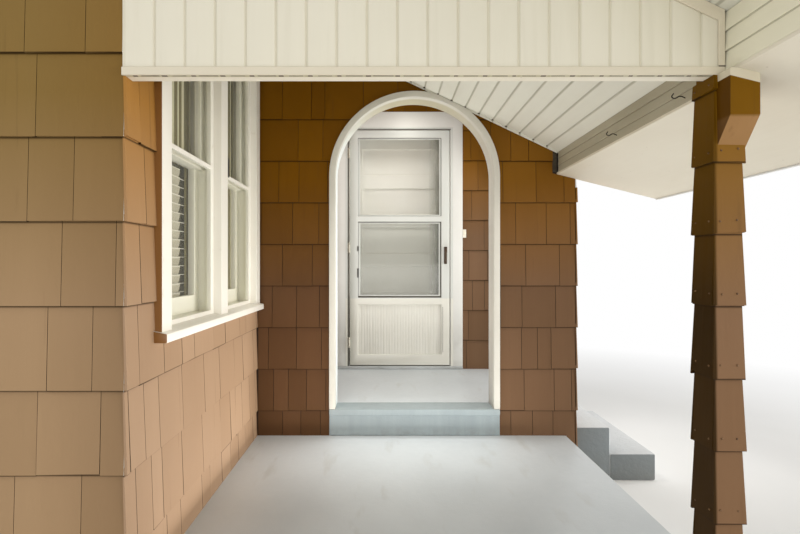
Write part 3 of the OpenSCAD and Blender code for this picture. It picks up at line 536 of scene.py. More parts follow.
def brown_paint_with_shade(name, where, laps, open_low, open_high, shade_low, shade_high, rise=(1.3, 2.0),
              over=None):
    """Brown paint on shingles, with painted light and shade: paler where it stands in the light,
    and richer and darker in the painted shade that where gives.

    Each of the four colours comes as a deep and a worn one; rise says where the low ones turn into
    the high ones, 0.4 m higher in the entry, the high ones richer as painted shade under the roof.
    Under each lap, which laps gives as height and spacing, is a dark line of painted shade."""
    material, skin, place = finish(name, rough=0.6)
    skin.inputs["Specular IOR Level"].default_value = 0.1
    tone = place.node("ShaderNodeAttribute", {"attribute_name": "tone"}, output="Fac")
    grain = place.noise(34, 6, (1, 1, 0.05))
    coarse = place.noise(11, 4, (1, 1, 0.12))
    # The high colours stand for painted shade under the roof.
    high = (place.part(2) - place.part(1).rising(0.1, 0.2) * 0.4).rising(*rise)
    painted_shade = where(place)
    deep, worn = (painted_shade.between(high.between(open_low[k], open_high[k]),
                                  high.between(shade_low[k], shade_high[k])) for k in (0, 1))
    mixed = tone * 0.4 + place.noise(1.6, 4) * 0.3 + coarse * 0.3 - 0.15
    base = (grain.rising(0.64, 0.8) * 0.3).between(mixed.between(deep, worn), (78, 56, 34))
    # Painted shade: a dark line under each lap.
    base = (band_under_laps(place, *laps, 0.008) * 0.8).between(base, (40, 24, 6))
    base = tone.rising(-0.2, -0.8).between(base, (44, 28, 10))
    if over:
        cover, colour = over
        base = cover(place).between(base, colour)
    put(skin, Base_Color=base, Roughness=coarse * 0.2 + 0.5,
        Normal=(grain * 0.7 + coarse * 0.4).relief(0.0016))
    return material


WALL_LAPS = (0.0, COURSE)
shade_colours = (((80, 54, 31), (101, 71, 47)), ((104, 65, 0), (124, 81, 0)))
# Painted shade on the arch wall, the entry and the street wall: weaker to the right of the arch, in
# the entry and most of all on the street wall, where light from the street falls.
shingle_paint = brown_paint_with_shade(
    "shingle_paint", lambda place: place.part(1).rising(-0.03, -0.016) *
    (1.0 - place.part(0).rising(0.35, 0.6) * 0.18 - place.part(1).rising(0.1, 0.2) * 0.1
     - place.part(0).rising(1.030, 1.035) * 0.4),
    WALL_LAPS,
    ((154, 125, 98), (174, 145, 118)), ((150, 105, 46), (170, 123, 62)),
    *shade_colours)
# Painted shade on the front stub: darker high colours under the eave, and more shade towards its
# corner with the side wall.
front_paint = brown_paint_with_shade(
    "front_shingle_paint", lambda place: place.part(0).rising(-1.30, -1.01) * 0.3, WALL_LAPS,
    ((156, 127, 94), (172, 142, 108)), ((126, 100, 52), (142, 114, 66)),
    *shade_colours)


def shingled(name, node, seed, near, far, low, keep, holes, turned=False, wall=0.0,
             paint=shingle_paint, narrow=0.085, gap=0.0026):
    """Shingles on a wall from near to far along it; wall is where its face lies."""
    first = math.floor(low / COURSE) * COURSE
    top = max(z for outline in keep for _, z in outline)
    field = lay(name, shingle_pattern, Length=far - near, Start=first, Seed=seed,
                Courses=math.ceil((top - first) / COURSE), Narrow=narrow, Gap=gap,
                Finish=paint)
    turn = Matrix.Rotation(math.pi / 2 if turned else 0.0, 4, "Z")
    place = (wall, near, 0) if turned else (near, wall, 0)
    field.data.transform(Matrix.Translation(place) @ turn)
    cuts = [("INTERSECT", prism(keep, wall - 0.05, wall + 0.05, turned))]
    for hole in holes:
        cuts.append(("DIFFERENCE", prism([hole], wall - 0.06, wall + 0.06, turned)))
    shaped(field, cuts)
    rest(field, "house", "shingle_paint", node)


def arch_outline(middle, foot, steps=48):
    """The round headed outline of an arch casing."""
    turn = [math.pi * k / steps for k in range(steps + 1)]
    return [(middle - CASING_RADIUS, foot), (middle + CASING_RADIUS, foot)] + [
        (middle + CASING_RADIUS * math.cos(t), SPRING + CASING_RADIUS * math.sin(t))
        for t in turn]


SKIN, PORCH_FLOOR, ENTRY_FLOOR, FOOT, PLATE = 0.015, 0.370, 0.540, 0.200, 3.328
SPRING, CASING_RADIUS = 2.020, 0.5435
BEAM_EDGE, BEAM_FOOT, CLEAR = 0.868, 2.045, 0.0004
SHINGLE_END, BEAM_FACE = 0.880, 0.908
STUB, FRONT_RISE = -1.550, 0.0495
corner, corner_top = LEFT_WALL + 0.0045, BEAM_FOOT - 0.002
shingled("front_shingle_boards", "front_shingles", 11, STUB, corner + 0.001, FOOT, [[
    (STUB, FOOT), (corner, FOOT), (corner, corner_top), (LEFT_WALL, corner_top),
    (LEFT_WALL, ceiling_at(LEFT_WALL) + FRONT_RISE), (STUB, ceiling_at(STUB) + FRONT_RISE)]], [],
         wall=FRONT_WALL, paint=front_paint, narrow=0.13, gap=0.0016)
sill_low, sill_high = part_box("window_sill")
casing_low, casing_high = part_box("window_frame")
shingled("side_shingle_boards", "side_shingles", 23, FRONT_WALL - SKIN, 0.0, PORCH_FLOOR,
         [boxed(FRONT_WALL - SKIN, 0.0, PORCH_FLOOR, ceiling_at(LEFT_WALL + SKIN))],
         [boxed(casing_low.y, casing_high.y, 1.210, casing_high.z),
          boxed(sill_low.y, sill_high.y, sill_low.z, 1.2222),
          boxed(FRONT_WALL - 0.02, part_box("front_beam")[1].y, BEAM_FOOT, PLATE)],
         True, LEFT_WALL)
EAVE_FOOT, EAVE_END = 1.879, 1.541
soffit_fall = (BEAM_FOOT - EAVE_FOOT) / (EAVE_END - BEAM_EDGE)


def soffit_at(x):
    return BEAM_FOOT - soffit_fall * (x - BEAM_EDGE)


arch_end, slab_edge = LEFT_WALL + SKIN, 0.969
shingled("arch_shingle_boards", "arch_shingles", 35, arch_end, STREET_WALL, FOOT, [
    [(arch_end, PORCH_FLOOR), (slab_edge, PORCH_FLOOR), (slab_edge, FOOT), (STREET_WALL, FOOT),
     (STREET_WALL, soffit_at(STREET_WALL) - CLEAR), (SHINGLE_END, soffit_at(SHINGLE_END) - CLEAR),
     (SHINGLE_END, ceiling_at(SHINGLE_END) - CLEAR),
     (arch_end, ceiling_at(arch_end) - CLEAR)],
    [(arch_end, ceiling_at(arch_end) + ROOF_DEPTH), (STREET_WALL, ceiling_at(STREET_WALL)
     + ROOF_DEPTH), (STREET_WALL, PLATE), (arch_end, PLATE)]],
    [arch_outline(0.0, 0.1)])
door_low, door_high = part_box("door_casing")
entry_end, arch_back = 0.875, 0.150
shingled("entry_back_boards", "entry_shingles", 42, arch_end, entry_end, ENTRY_FLOOR,
         [boxed(arch_end, entry_end, ENTRY_FLOOR, PLATE)],
         [boxed(door_low.x, door_high.x, 0.5, door_high.z)], wall=DOOR_WALL)
shingled("entry_side_boards", "entry_shingles", 57, arch_back, DOOR_WALL - SKIN, ENTRY_FLOOR,
         [boxed(arch_back, DOOR_WALL - SKIN, ENTRY_FLOOR, PLATE)], [], True, LEFT_WALL)
street_back, street_middle, street_top, ENTRY_SLOPE = 1.472, 0.736, 3.339, 0.6
step_low, step_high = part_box("street_step_upper")
shingled("street_shingle_boards", "street_shingles", 64, -SKIN, street_back, FOOT,
         [[(-SKIN, FOOT), (street_back, FOOT), (street_back, street_top),
           (street_middle, street_top + ENTRY_SLOPE * street_middle),
           (-SKIN, street_top - ENTRY_SLOPE * SKIN)]],
         [arch_outline(street_middle, ENTRY_FLOOR - 0.002),
          boxed(step_low.y, step_high.y, 0.0, step_high.z),
          boxed(-0.1, 0.0, 1.95, ceiling_at(STREET_WALL) + ROOF_DEPTH + 0.001)],
         True, STREET_WALL)


# The porch post: a timber clad on four sides with single shingles in courses 225 mm apart. Each
# shingle flares at its foot and is held by two nails. Painted shade darkens the brown paint to
# nearly black under the laps, and the side that faces into the porch takes the shaded colours.
POST_MIDDLE, POST_HALF = Vector((0.880, -1.691)), Vector((0.040, 0.050))
POST_COURSE, POST_FIRST, POST_FLARE, POST_TIP = 0.225, 0.055, 0.011, 0.0035
POST_START = PORCH_FLOOR + POST_FIRST
post_colours = (
    ((117, 87, 60), (134, 103, 76)), ((126, 86, 0), (143, 100, 6)),
    ((44, 27, 0), (60, 39, 4)), ((92, 61, 0), (111, 77, 0)))
# Painted shade: the post's side towards the porch and the dark lines under its laps.
post_paint = brown_paint_with_shade(
    "post_paint", lambda place: place.part(0).rising(0.8445, 0.8375),
    (POST_START, POST_COURSE), *post_colours)
# Painted shade on the bracket's side towards the porch; its cream top is paint.
bracket_paint = brown_paint_with_shade(
    "bracket_paint", lambda place: place.part(0).rising(0.8445, 0.8425), (0.0, 9.0),
    ((152, 115, 73), (168, 129, 87)), ((112, 75, 0), (130, 91, 4)),
    ((66, 36, 0), (82, 48, 0)), ((70, 40, 0), (86, 52, 0)), (1.898, 1.906),
    (lambda place: place.part(2) + (place.part(0) - BEAM_EDGE) * soffit_fall
     > BEAM_FOOT - 0.029, (206, 197, 174)))
tree, (courses, pitch, start, half_x, half_y, butt, tip, lap, seed, paint) = pattern(
    "post_shingles", Courses=8, Pitch=POST_COURSE, Start=POST_START,
    HalfWidth=POST_HALF.x, HalfDepth=POST_HALF.y, Butt=POST_FLARE, Tip=POST_TIP, Lap=0.03,
    Seed=8, Finish=None)


def turned_out(side, along, out):
    """A place on one of the four faces of the post, from along it and out of it."""
    angle = side * (math.pi / 2)
    c, s = angle.math("COSINE"), angle.math("SINE")
    return along * c + out * s, along * s - out * c


index = pitch.node("GeometryNodeInputIndex")
course = ((index + 0.5) / 4).math("FLOOR")
side = index - course * 4
points = pitch.node("GeometryNodePoints", None, {"Count": courses * 4})
points = kept(points, "habit", habit(index, seed))
points = kept(points, "face", vector(course, side, chance(-1.0, 1.0, index, seed + 3)))
boards = bricks(points, 3, 2, 4)
along, inward, up = recall(boards, "cell")
tone, drop, lean = recall(boards, "habit")
course, side, twist = recall(boards, "face")
ends = side.math("MODULO", 2.0)
low = start + course * pitch + (drop + lean * (along - 0.5)) * 0.005
z = low + up * (pitch + lap)
share = (z - start - course * pitch) / pitch
front = butt - (butt - tip) * share + twist * (along - 0.5) * (1 - up) * 0.004
back = (1 - up) * (tip + 2 * HAIR) + HAIR
half = half_x * (1 - ends) + half_y * ends
reach = half + front * (1 - ends) + back * ends
out = half_y * (1 - ends) + half_x * ends + front * (1 - inward) + back * inward
x, y = turned_out(side, (along - 0.5) * 2.0 * reach, out)
past = x + (POST_MIDDLE.x - BEAM_EDGE)
top = BEAM_FOOT - CLEAR - past.math("MAXIMUM", 0.0) * soffit_fall
boards = kept(boards, "tone", tone, "FLOAT", "FACE")
close(boards, vector(x, y, z.math("MINIMUM", top)), paint)
post = lay("post_shingle_boards", tree, Finish=post_paint)
post.data.transform(Matrix.Translation((*POST_MIDDLE, 0)))


def joined(name, pieces):
    """One mesh from several."""
    shape = bmesh.new()
    finishes = []
    for piece in pieces:
        start = len(finishes)
        finishes += piece.data.materials
        first = len(shape.faces)
        shape.from_mesh(piece.data)
        shape.faces.ensure_lookup_table()
        for face in shape.faces[first:]:
            face.material_index += start
    mesh = bpy.data.meshes.new(name)
    shape.to_mesh(mesh)
    shape.free()
    for one in finishes:
        mesh.materials.append(one)
    for piece in pieces:
        bpy.data.objects.remove(piece)
    return added(name, mesh)


def slab(low, high, material):
    """A plain block with one finish, under the name that prism gives."""
    block = prism([boxed(low[0], high[0], low[2], high[2])], low[1], high[1])
    block.data.materials.append(material)
    return block


core = slab((0.8402, -1.7408, PORCH_FLOOR), (0.9198, -1.6412, 2.03), post_paint)
head = slab((0.8402, -1.6888, 2.03), (0.9076, -1.6412, 2.0668), post_paint)
post = joined("post_shingle_boards", [post, core, head])
rest(post, "house", "shingle_paint", "porch_post")
eased("post_bracket", bracket_paint, "shingle_paint", 0.0015, 2)


# Nails in the post: small wire nails, two to each shingle, their heads painted over with the
# boards and rusting through in spots.
nail_paint, skin, place = finish("painted_nails", metal=0.2, rough=0.5)
put(skin, Base_Color=place.noise(90, 3).rising(0.45, 0.6).between((112, 82, 50), (84, 58, 34)))
tree, (courses, radius, paint) = pattern("post_nails", Courses=8, Radius=0.0034, Finish=None)
index = radius.node("GeometryNodeInputIndex")
course = ((index + 0.5) / 8).math("FLOOR")
spot = index - course * 8
side = ((spot + 0.5) / 2).math("FLOOR")
hand = (spot - side * 2) * 2 - 1
ends = side.math("MODULO", 2.0)
along = hand * (0.026 + ends * 0.011 + chance(-0.004, 0.004, index, 31))
z = POST_START + course * POST_COURSE + chance(0.030, 0.045, index, 32)
z = z.math("MINIMUM", 2.02)
share = (z - PORCH_FLOOR - POST_FIRST - course * POST_COURSE) / POST_COURSE
out = (0.050 - ends * 0.010) + (POST_FLARE - (POST_FLARE - POST_TIP) * share)
x, y = turned_out(side, along, out)
points = radius.node("GeometryNodePoints", None, {"Count": courses * 8,
                                                  "Position": vector(x, y, z)})
head = radius.node("GeometryNodeMeshUVSphere", None, {"Segments": 10, "Rings": 6, "Radius": radius})
nails = points.node("GeometryNodeInstanceOnPoints", None, {"Points": points, "Instance": head,
                                                           "Scale": (1, 1, 1)})
nails = nails.node("GeometryNodeRealizeInstances", None, {"Geometry": nails})
close(nails, None, paint)
nails = lay("post_nail_heads", tree, Finish=nail_paint)
nails.data.transform(Matrix.Translation((*POST_MIDDLE, 0)))
rest(nails, "house", "shingle_paint")


# The arch casings: a bent face casing with a deeper lining behind it, in white oil paint that is
# dirty at the foot. The front one is a shaded copy of the white, and its lining has painted light
# and shade: pale and cool on the left, darker to the right and duller under its crown.
def oil_paint(name, pale, deep, rough=0.4, grain=(1, 1, 1), dirt=0.0):
    """Painted wood: soft clouds of dirt, brush marks, and dirt that thickens downwards."""
    material, skin, place = finish(name, rough=rough)
    brushed = place.noise(46, 5, grain)
    cloud = place.noise(2.4, 6)
    foot = place.part(2).rising(0.95, 0.45) * place.noise(7, 6).rising(0.4, 0.65) * dirt
    tone = (cloud * 0.9 + brushed * 0.3 - 0.15).between(pale, deep)
    tone = foot.between(tone, (150, 146, 132))
    return material, skin, place, tone, brushed


white_trim, skin, place, tone, brushed = oil_paint(
    "white_trim", (221, 221, 217), (209, 208, 202), dirt=0.5)
chips = place.noise(120, 4).rising(0.72, 0.75)
put(skin, Base_Color=(chips * 0.5).between(tone, (178, 172, 152)),
    Roughness=brushed * 0.2 + 0.3, Normal=(brushed * 0.5 - chips).relief(0.0009))
# Painted shade: the front casing's white is darker than the street one's.
arch_white_shaded, skin, place, tone, brushed = oil_paint(
    "arch_white_shaded", (214, 211, 201), (202, 198, 187), dirt=0.5)
# Painted light and shade on the lining: cool and pale at the left, darker to the right and under
# the crown.
inside = place.part(1).rising(0.015, 0.035) * place.part(0).rising(0.6, 0.55)
lining_light_and_shade = place.part(0).rising(0.0, 0.45).between((238, 244, 244), (202, 197, 188))
lining_light_and_shade = place.part(2).rising(2.15, 2.5).between(lining_light_and_shade, (186, 178, 150))
put(skin, Base_Color=inside.between(tone, lining_light_and_shade), Roughness=brushed * 0.2 + 0.3,
    Normal=brushed.relief(0.0006))
eased("arch_casing", arch_white_shaded, "white_trim", 0.003, 3)
eased("street_arch_casing", white_trim, "white_trim", 0.003, 3)


# The gable over the porch: vertical tongue and groove boards, a rail along the foot and a raking
# trim, all in cream paint, darker along the grooves, with a painted shadow line above the rail.
def grooves(place, first, pitch, reach):
    """1 along the grooves of boards that are one pitch wide; reach is how far the darkening
    spreads.
    """
    across = (place.part(0) - first) / pitch + 0.5
    return across.math("PINGPONG", 0.5).rising(0.5 - reach, 0.5 - 0.03)


GABLE_PITCH, GABLE_FIRST, RAIL_TOP = 0.095, 0.100, 2.071
gable_paint, skin, place, tone, brushed = oil_paint(
    "gable_paint", (225, 219, 201), (217, 211, 191), 0.45, (1, 1, 0.05))
groove = grooves(place, LEFT_WALL + GABLE_FIRST, GABLE_PITCH, 0.075)
runs = place.noise(30, 5, (1, 1, 0.07)).rising(0.55, 0.8)
# Painted shadow: a dark line on the boards just above the rail.
rail_shadow_line = place.part(2).rising(RAIL_TOP + 0.005, RAIL_TOP)
put(skin, Base_Color=(groove * 0.15 + runs * 0.12 + rail_shadow_line * 0.6).between(tone, (168, 158, 122)),
    Normal=(brushed * 0.5 + place.noise(12, 3, (1, 1, 0.1))).relief(0.0008))
eased("gable_boards", gable_paint, "soffit_board", 0.0015, 2)
rail_paint, skin, place, tone, brushed = oil_paint(
    "rail_paint", (217, 208, 187), (209, 199, 176), 0.45, (0.05, 1, 1))
put(skin, Base_Color=tone, Normal=brushed.relief(0.0007))
eased("gable_trim", rail_paint, "white_trim", 0.0018, 2)


# Under the gable's rail: the drain slots that the bent metal edge has, one long and one short by
# turns, drawn as thin dark blocks of painted shade that show as a broken dark line. Dark sheets of
# painted shade fill the open gaps at the trim's foot and at the cladding's far end.
shadow_gap = mottled("shadow_gap", 60, (44, 38, 30), (84, 76, 62), rough=0.9)


def repeated(name, count, start, step, size, paint, seed, spread):
    """Small blocks in a row from start, with a little difference in their length."""
    return lay(name, row_pattern, Count=count, StartX=start[0], StartY=start[1], StartZ=start[2],
               StepX=step[0], StepY=step[1], StepZ=step[2], SizeX=size[0], SizeY=size[1],
               SizeZ=size[2], Spread=spread, Seed=seed, Finish=paint)


row_pattern, (count, start_x, start_y, start_z, step_x, step_y, step_z, size_x, size_y, size_z,
              spread, seed, paint) = pattern(
    "row_of_blocks", Count=4, StartX=0.0, StartY=0.0, StartZ=0.0, StepX=0.1, StepY=0.0,
    StepZ=0.0, SizeX=0.05, SizeY=0.004, SizeZ=0.002, Spread=0.0, Seed=1, Finish=None)
index = size_x.node("GeometryNodeInputIndex")
points = size_x.node("GeometryNodePoints", None, {"Count": count, "Position": vector(
    start_x + index * step_x, start_y + index * step_y, start_z + index * step_z)})
points = kept(points, "middle", points.node("GeometryNodeInputPosition"))
points = kept(points, "habit", vector(chance(-1.0, 1.0, index, seed), 0.0, 0.0))
blocks = bricks(points, 3, 3, 2)
along, across, up = recall(blocks, "cell")
x, y, z = recall(blocks, "middle")
longer = recall(blocks, "habit")[0] * spread + 1
close(blocks, vector(x + (along - 0.5) * size_x * longer, y + (across - 0.5) * size_y * longer,
                     z + (up - 0.5) * size_z), paint)
SLOT_PITCH = 0.0912
slots = joined("rail_slots", [
    repeated("long_slots", 20, (LEFT_WALL + 0.0865, -1.7385, BEAM_FOOT), (SLOT_PITCH, 0, 0),
             (0.052, 0.0032, 0.0010), shadow_gap, 4, 0.25),
    repeated("short_slots", 21, (LEFT_WALL + 0.040, -1.7380, BEAM_FOOT), (SLOT_PITCH, 0, 0),
             (0.014, 0.0065, 0.0012), shadow_gap, 5, 0.25),
    slab((0.847, -1.7497, RAIL_TOP - 0.0005), (0.868, -1.7488, RAIL_TOP + 0.003), shadow_gap),
    slab((SHINGLE_END, -0.012, 2.050), (BEAM_FACE - 0.002, -0.0004, 2.170), shadow_gap)])
rest(slots, "house", "soffit_board")


# The beams, the gable's frame, the eave's soffit and the entry's ceiling: smooth boards in cream
# paint, with brush marks along them and insect specks.
eave_paint, skin, place, tone, brushed = oil_paint(
    "eave_paint", (231, 225, 208), (220, 212, 193), 0.5, (1, 0.08, 1))
spots = place.specks(16).rising(0.055, 0.035)
put(skin, Base_Color=(spots * 0.4).between(tone, (150, 138, 112)), Normal=brushed.relief(0.0008))
for node in ("front_beam", "side_beam", "gable_frame", "eave_soffit", "entry_ceiling"):
    eased(node, eave_paint, "eave_board", 0.0015, 2)


# The porch ceiling, the soffit before the gable and the lapped boards on the side beam: grooved
# boards in the same cream, greyer with road dust and darker along each groove. Under the porch roof
# the side beam's boards are painted darker as shade, with painted shade lines under their laps.
ceiling_paint, skin, place, tone, brushed = oil_paint(
    "ceiling_paint", (229, 228, 216), (212, 210, 196), 0.5, (1, 0.06, 1))
CEILING_PITCH, CEILING_FIRST = 0.0863, LEFT_WALL + 0.040
groove = grooves(place, CEILING_FIRST, CEILING_PITCH, 0.085)
stains = place.noise(5, 6, (1, 0.3, 1)).rising(0.55, 0.8)
put(skin, Base_Color=(groove * 0.6 + stains * 0.15).between(tone, (148, 144, 124)),
    Normal=brushed.relief(0.0009))
for node in ("porch_ceiling", "gable_soffit"):
    eased(node, ceiling_paint, "soffit_board", 0.001, 1)
eased("ceiling_trim", ceiling_paint, "white_trim", 0.001, 2)
cladding_paint, skin, place, tone, brushed = oil_paint(
    "cladding_paint", (190, 184, 164), (166, 158, 136), 0.5, (1, 0.05, 1))
# Painted light and shade: the boards under the porch roof are darker, the ones outside it cream.
lit_outside = place.part(1) < FRONT_WALL
tone = (place.noise(4, 6, (1, 0.4, 1)).rising(0.5, 0.8) * 0.3).between(tone, (140, 130, 104))
tone = lit_outside.between(tone, (232, 228, 206))
# Painted shade: a dark line under each lap.
lap = (band_under_laps(place, 2.0572, 0.0627, 0.005) * lit_outside).math(
    "MAXIMUM", band_under_laps(place, 2.0473, 0.04297, 0.005) * (1.0 - lit_outside))
put(skin, Base_Color=(lap * 0.5).between(tone, (112, 104, 82)), Normal=brushed.relief(0.0009))
eased("beam_cladding", cladding_paint, "soffit_board", 0.001, 1)


# The ceiling's grooves run open over the channel on the arch wall, and each of them leaves a
# small dark mouth there, drawn as a small block of painted shade.
mouths = repeated("ceiling_mouths", 22, (CEILING_FIRST, -0.0255, ceiling_at(CEILING_FIRST)
                  + 0.0015), (CEILING_PITCH, 0, -ROOF_FALL * CEILING_PITCH),
                  (0.014, 0.010, 0.0066), shadow_gap, 6, 0.25)
rest(mouths, "house", "soffit_board")


# Two black wire hooks on the side beam: bent from round wire, with the screw end in the
# cladding and the free end turned up.
black_wire = mottled("black_wire", 120, (24, 23, 22), (52, 46, 40), metal=0.6, rough=0.45)


def wire_hook(name, y, z):
    bend = bpy.data.curves.new(name, "CURVE")
    bend.dimensions, bend.bevel_depth, bend.bevel_resolution = "3D", 0.0022, 2
    bend.resolution_u = 8
    line = bend.splines.new("BEZIER")
    way = ((0.006, 0, 0), (-0.016, 0.002, 0.008), (-0.034, 0.004, 0.001),
           (-0.043, 0.006, 0.006), (-0.036, 0.008, 0.020))
    line.bezier_points.add(len(way) - 1)
    for point, (a, b, c) in zip(line.bezier_points, way):
        point.co = (BEAM_FACE + a, y + b, z + c)
        point.handle_left_type = point.handle_right_type = "AUTO"
    bent = added(name, bend)
    made = bpy.data.meshes.new_from_object(bent)
    bpy.data.objects.remove(bent)
    coated(made, black_wire)
    return added(name, made)


hooks = joined("wire_hooks", [wire_hook("far_hook", -0.877, 2.070),
                              wire_hook("near_hook", -1.4525, 2.065)])
rest(hooks, "house", "bronze")


# Fascia and barge boards: planed boards round the roof's open edges, in the white of the trim,
# with the small roof over the entry edged in the same way.
eased("fascia_boards", white_trim, "white_trim", 0.002, 2)
eased("entry_roof", white_trim, "white_trim", 0.003, 2)


# The roof's timber that only shows at its cut end: sawn battens, rafters and deck boards, aged to
# a dull brown.
timber, skin, place = finish("sawn_timber", rough=0.85)
grain = place.noise(40, 6, (0.08, 1, 1))
put(skin, Base_Color=grain.between((146, 118, 84), (186, 158, 120)), Normal=grain.relief(0.002))
for node in ("ceiling_battens", "roof_rafters", "roof_deck"):
    dressed(node, timber)


# The roof covering: asphalt shingles in courses 127 mm apart, with a grit surface in several
# greys, and a line of caps along the ridge of the entry roof.
roofing, skin, place = finish("asphalt_shingle", rough=0.95)
tone = place.node("ShaderNodeAttribute", {"attribute_name": "tone"}, output="Fac")
grit = place.specks(420)
cloud = place.noise(1.3, 4)
base = (tone * 0.6 + cloud * 0.4).between((72, 68, 64), (118, 110, 102))
put(skin, Base_Color=(grit * 0.8).between(base, (150, 144, 136)), Normal=grit.relief(0.0012))
ROOF_EXPOSURE = 0.127


def roofed(name, seed, origin, along, up, length, height, keep):
    """Asphalt shingles on a slope: along runs with the eave, up climbs it, keep is its outline."""
    field = lay(name, shingle_pattern, Length=length, Pitch=ROOF_EXPOSURE,
                Courses=math.floor(height / ROOF_EXPOSURE), Lap=0.03, Butt=0.0075, Tip=0.0028,
                Narrow=0.15, Wide=0.32, Gap=0.004, Uneven=0.002, Seed=seed, Finish=roofing)
    along, up = Vector(along).normalized(), Vector(up).normalized()
    out = along.cross(up)
    turn = Matrix((along, -out, up)).transposed().to_4x4()
    shaped(field, [("INTERSECT", prism([keep], -0.05, 0.05))])
    field.data.transform(Matrix.Translation(origin) @ turn)
    return field


def deck_at(x):
    return ceiling_at(x) + ROOF_DEPTH - 0.0095


ROOF_FOOT, ROOF_FRONT = 1.580, -2.156
climb = (ROOF_FOOT - STUB) * math.hypot(1, ROOF_FALL)
main_slope = roofed("main_roof", 5, (ROOF_FOOT, ROOF_FRONT, deck_at(ROOF_FOOT)), (0, 1, 0),
                    (-1, 0, ROOF_FALL), -ROOF_FRONT, climb,
                    boxed(0.0, -ROOF_FRONT, 0.0, climb))
ENTRY_TOP, ENTRY_DECK, EAVE = 3.340, 0.0705, 0.108
foot_z = ENTRY_TOP + ENTRY_DECK - ENTRY_SLOPE * EAVE
climb = (street_middle + EAVE) * math.hypot(1, ENTRY_SLOPE)
west, west_low, east = -1.160, -0.860, 1.134
short = EAVE * math.hypot(1, ENTRY_SLOPE)
front_half = roofed("entry_front", 6, (west, -EAVE, foot_z), (1, 0, 0), (0, 1, ENTRY_SLOPE),
                    east - west, climb, [(0, short), (west_low - west, short),
                                         (west_low - west, 0), (east - west, 0),
                                         (east - west, climb), (0, climb)])
back_half = roofed("entry_back", 9, (east, street_back + EAVE, foot_z), (-1, 0, 0),
                   (0, -1, ENTRY_SLOPE), east - west, climb, boxed(0, east - west, 0, climb))

tree, (count, spacing, start, across, paint) = pattern(
    "ridge_caps", Count=18, Spacing=ROOF_EXPOSURE, Start=west, Across=0.115, Finish=None)
index = spacing.node("GeometryNodeInputIndex")
points = spacing.node("GeometryNodePoints", None, {"Count": count})
points = kept(points, "habit", vector(chance(0.0, 1.0, index, 3), index,
                                      chance(-1.0, 1.0, index, 4)))
caps = bricks(points, 2, 3, 2)
along, over, up = recall(caps, "cell")
tone, number, lean = recall(caps, "habit")
x = start + number * spacing + along * (spacing + 0.035)
fold = (over * 2.0 - 1.0) * across
y = fold + lean * 0.002
fall = fold.math("ABSOLUTE") * ENTRY_SLOPE
z = 0.0082 - fall + up * 0.003 + (1 - along) * 0.0062
caps = kept(caps, "tone", tone, "FLOAT", "FACE")
close(caps, vector(x, y, z), paint)
caps = lay("ridge_caps", tree, Finish=roofing)
caps.data.transform(Matrix.Translation(
    (0, street_middle, ENTRY_TOP + ENTRY_DECK + ENTRY_SLOPE * street_middle)))
covering = joined("asphalt_shingles", [main_slope, front_half, back_half, caps])
rest(covering, "house", "roofing", "roof_covering")


# The window pair: a wide white casing and a sloped sill, double-hung sashes with storm windows
# over them, and old clear glass.
def window_coat(name, near_end):
    """White oil paint, worn in spots and tinted yellower behind the storm windows as painted shade;
    the end towards the front is brown like the wall."""
    material, skin, place, tone, brushed = oil_paint(
        name, (244, 241, 232), (235, 230, 218), 0.35, (1, 1, 0.1))
    tone = (place.noise(18, 6).rising(0.66, 0.8) * 0.4).between(tone, (196, 186, 160))
    # Painted shade: a yellower tint behind the storm windows.
    tone = (place.part(0).rising(-1.015, -1.03) * 0.8).between(tone, (244, 242, 224))
    put(skin, Base_Color=(place.part(1) < near_end).between(tone, (130, 88, 42)),
        Normal=brushed.relief(0.0007))
    return material


window_paint = window_coat("window_paint", casing_low.y + 0.0015)
eased("window_frame", window_paint, "window_paint", 0.002, 2)
eased("window_sill", window_coat("sill_paint", sill_low.y + 0.003), "sill_paint", 0.004, 3)
eased("window_sashes", window_paint, "window_paint", 0.002, 2)
eased("storm_windows", window_paint, "window_paint", 0.0015, 2)

clear_glass, skin, place = finish("clear_glass", rough=0.03)
skin.inputs["IOR"].default_value = 1.5
edge = place.node("ShaderNodeFresnel", None, {"IOR": 1.45})
film = place.noise(6, 5)
put(skin, Base_Color=film.between((196, 196, 184), (214, 214, 206)),
    Alpha=edge * 0.05 + film * 0.015)
dressed("window_glass", clear_glass)


# Behind the sashes: a lined curtain in soft upright folds, with painted shade in their hollows and
# a painted highlight on their crests; a slatted blind in the lower half of the near window, with a
# painted highlight along each slat's top edge; and dark sheets of painted shade for the dark room
# past its end. In front of them is a small black latch.
def folds(y):
    """The wave of the curtain's folds, from -1 to 1, along the wall."""
    turn = y * (math.tau / 0.068)
    return (turn + (turn * 0.41).math("SINE") * 1.2).math("SINE")


WINDOWS = ((-1.435, -0.834), (-0.730, -0.129))
SASH_BACK, WINDOW_FOOT, MEETING, WINDOW_HEAD = -1.120, 1.237, 1.908, 2.640
curtain_cloth, skin, place = finish("curtain_cloth", rough=0.85)
weave = place.noise(220, 3, (1, 1, 0.3))
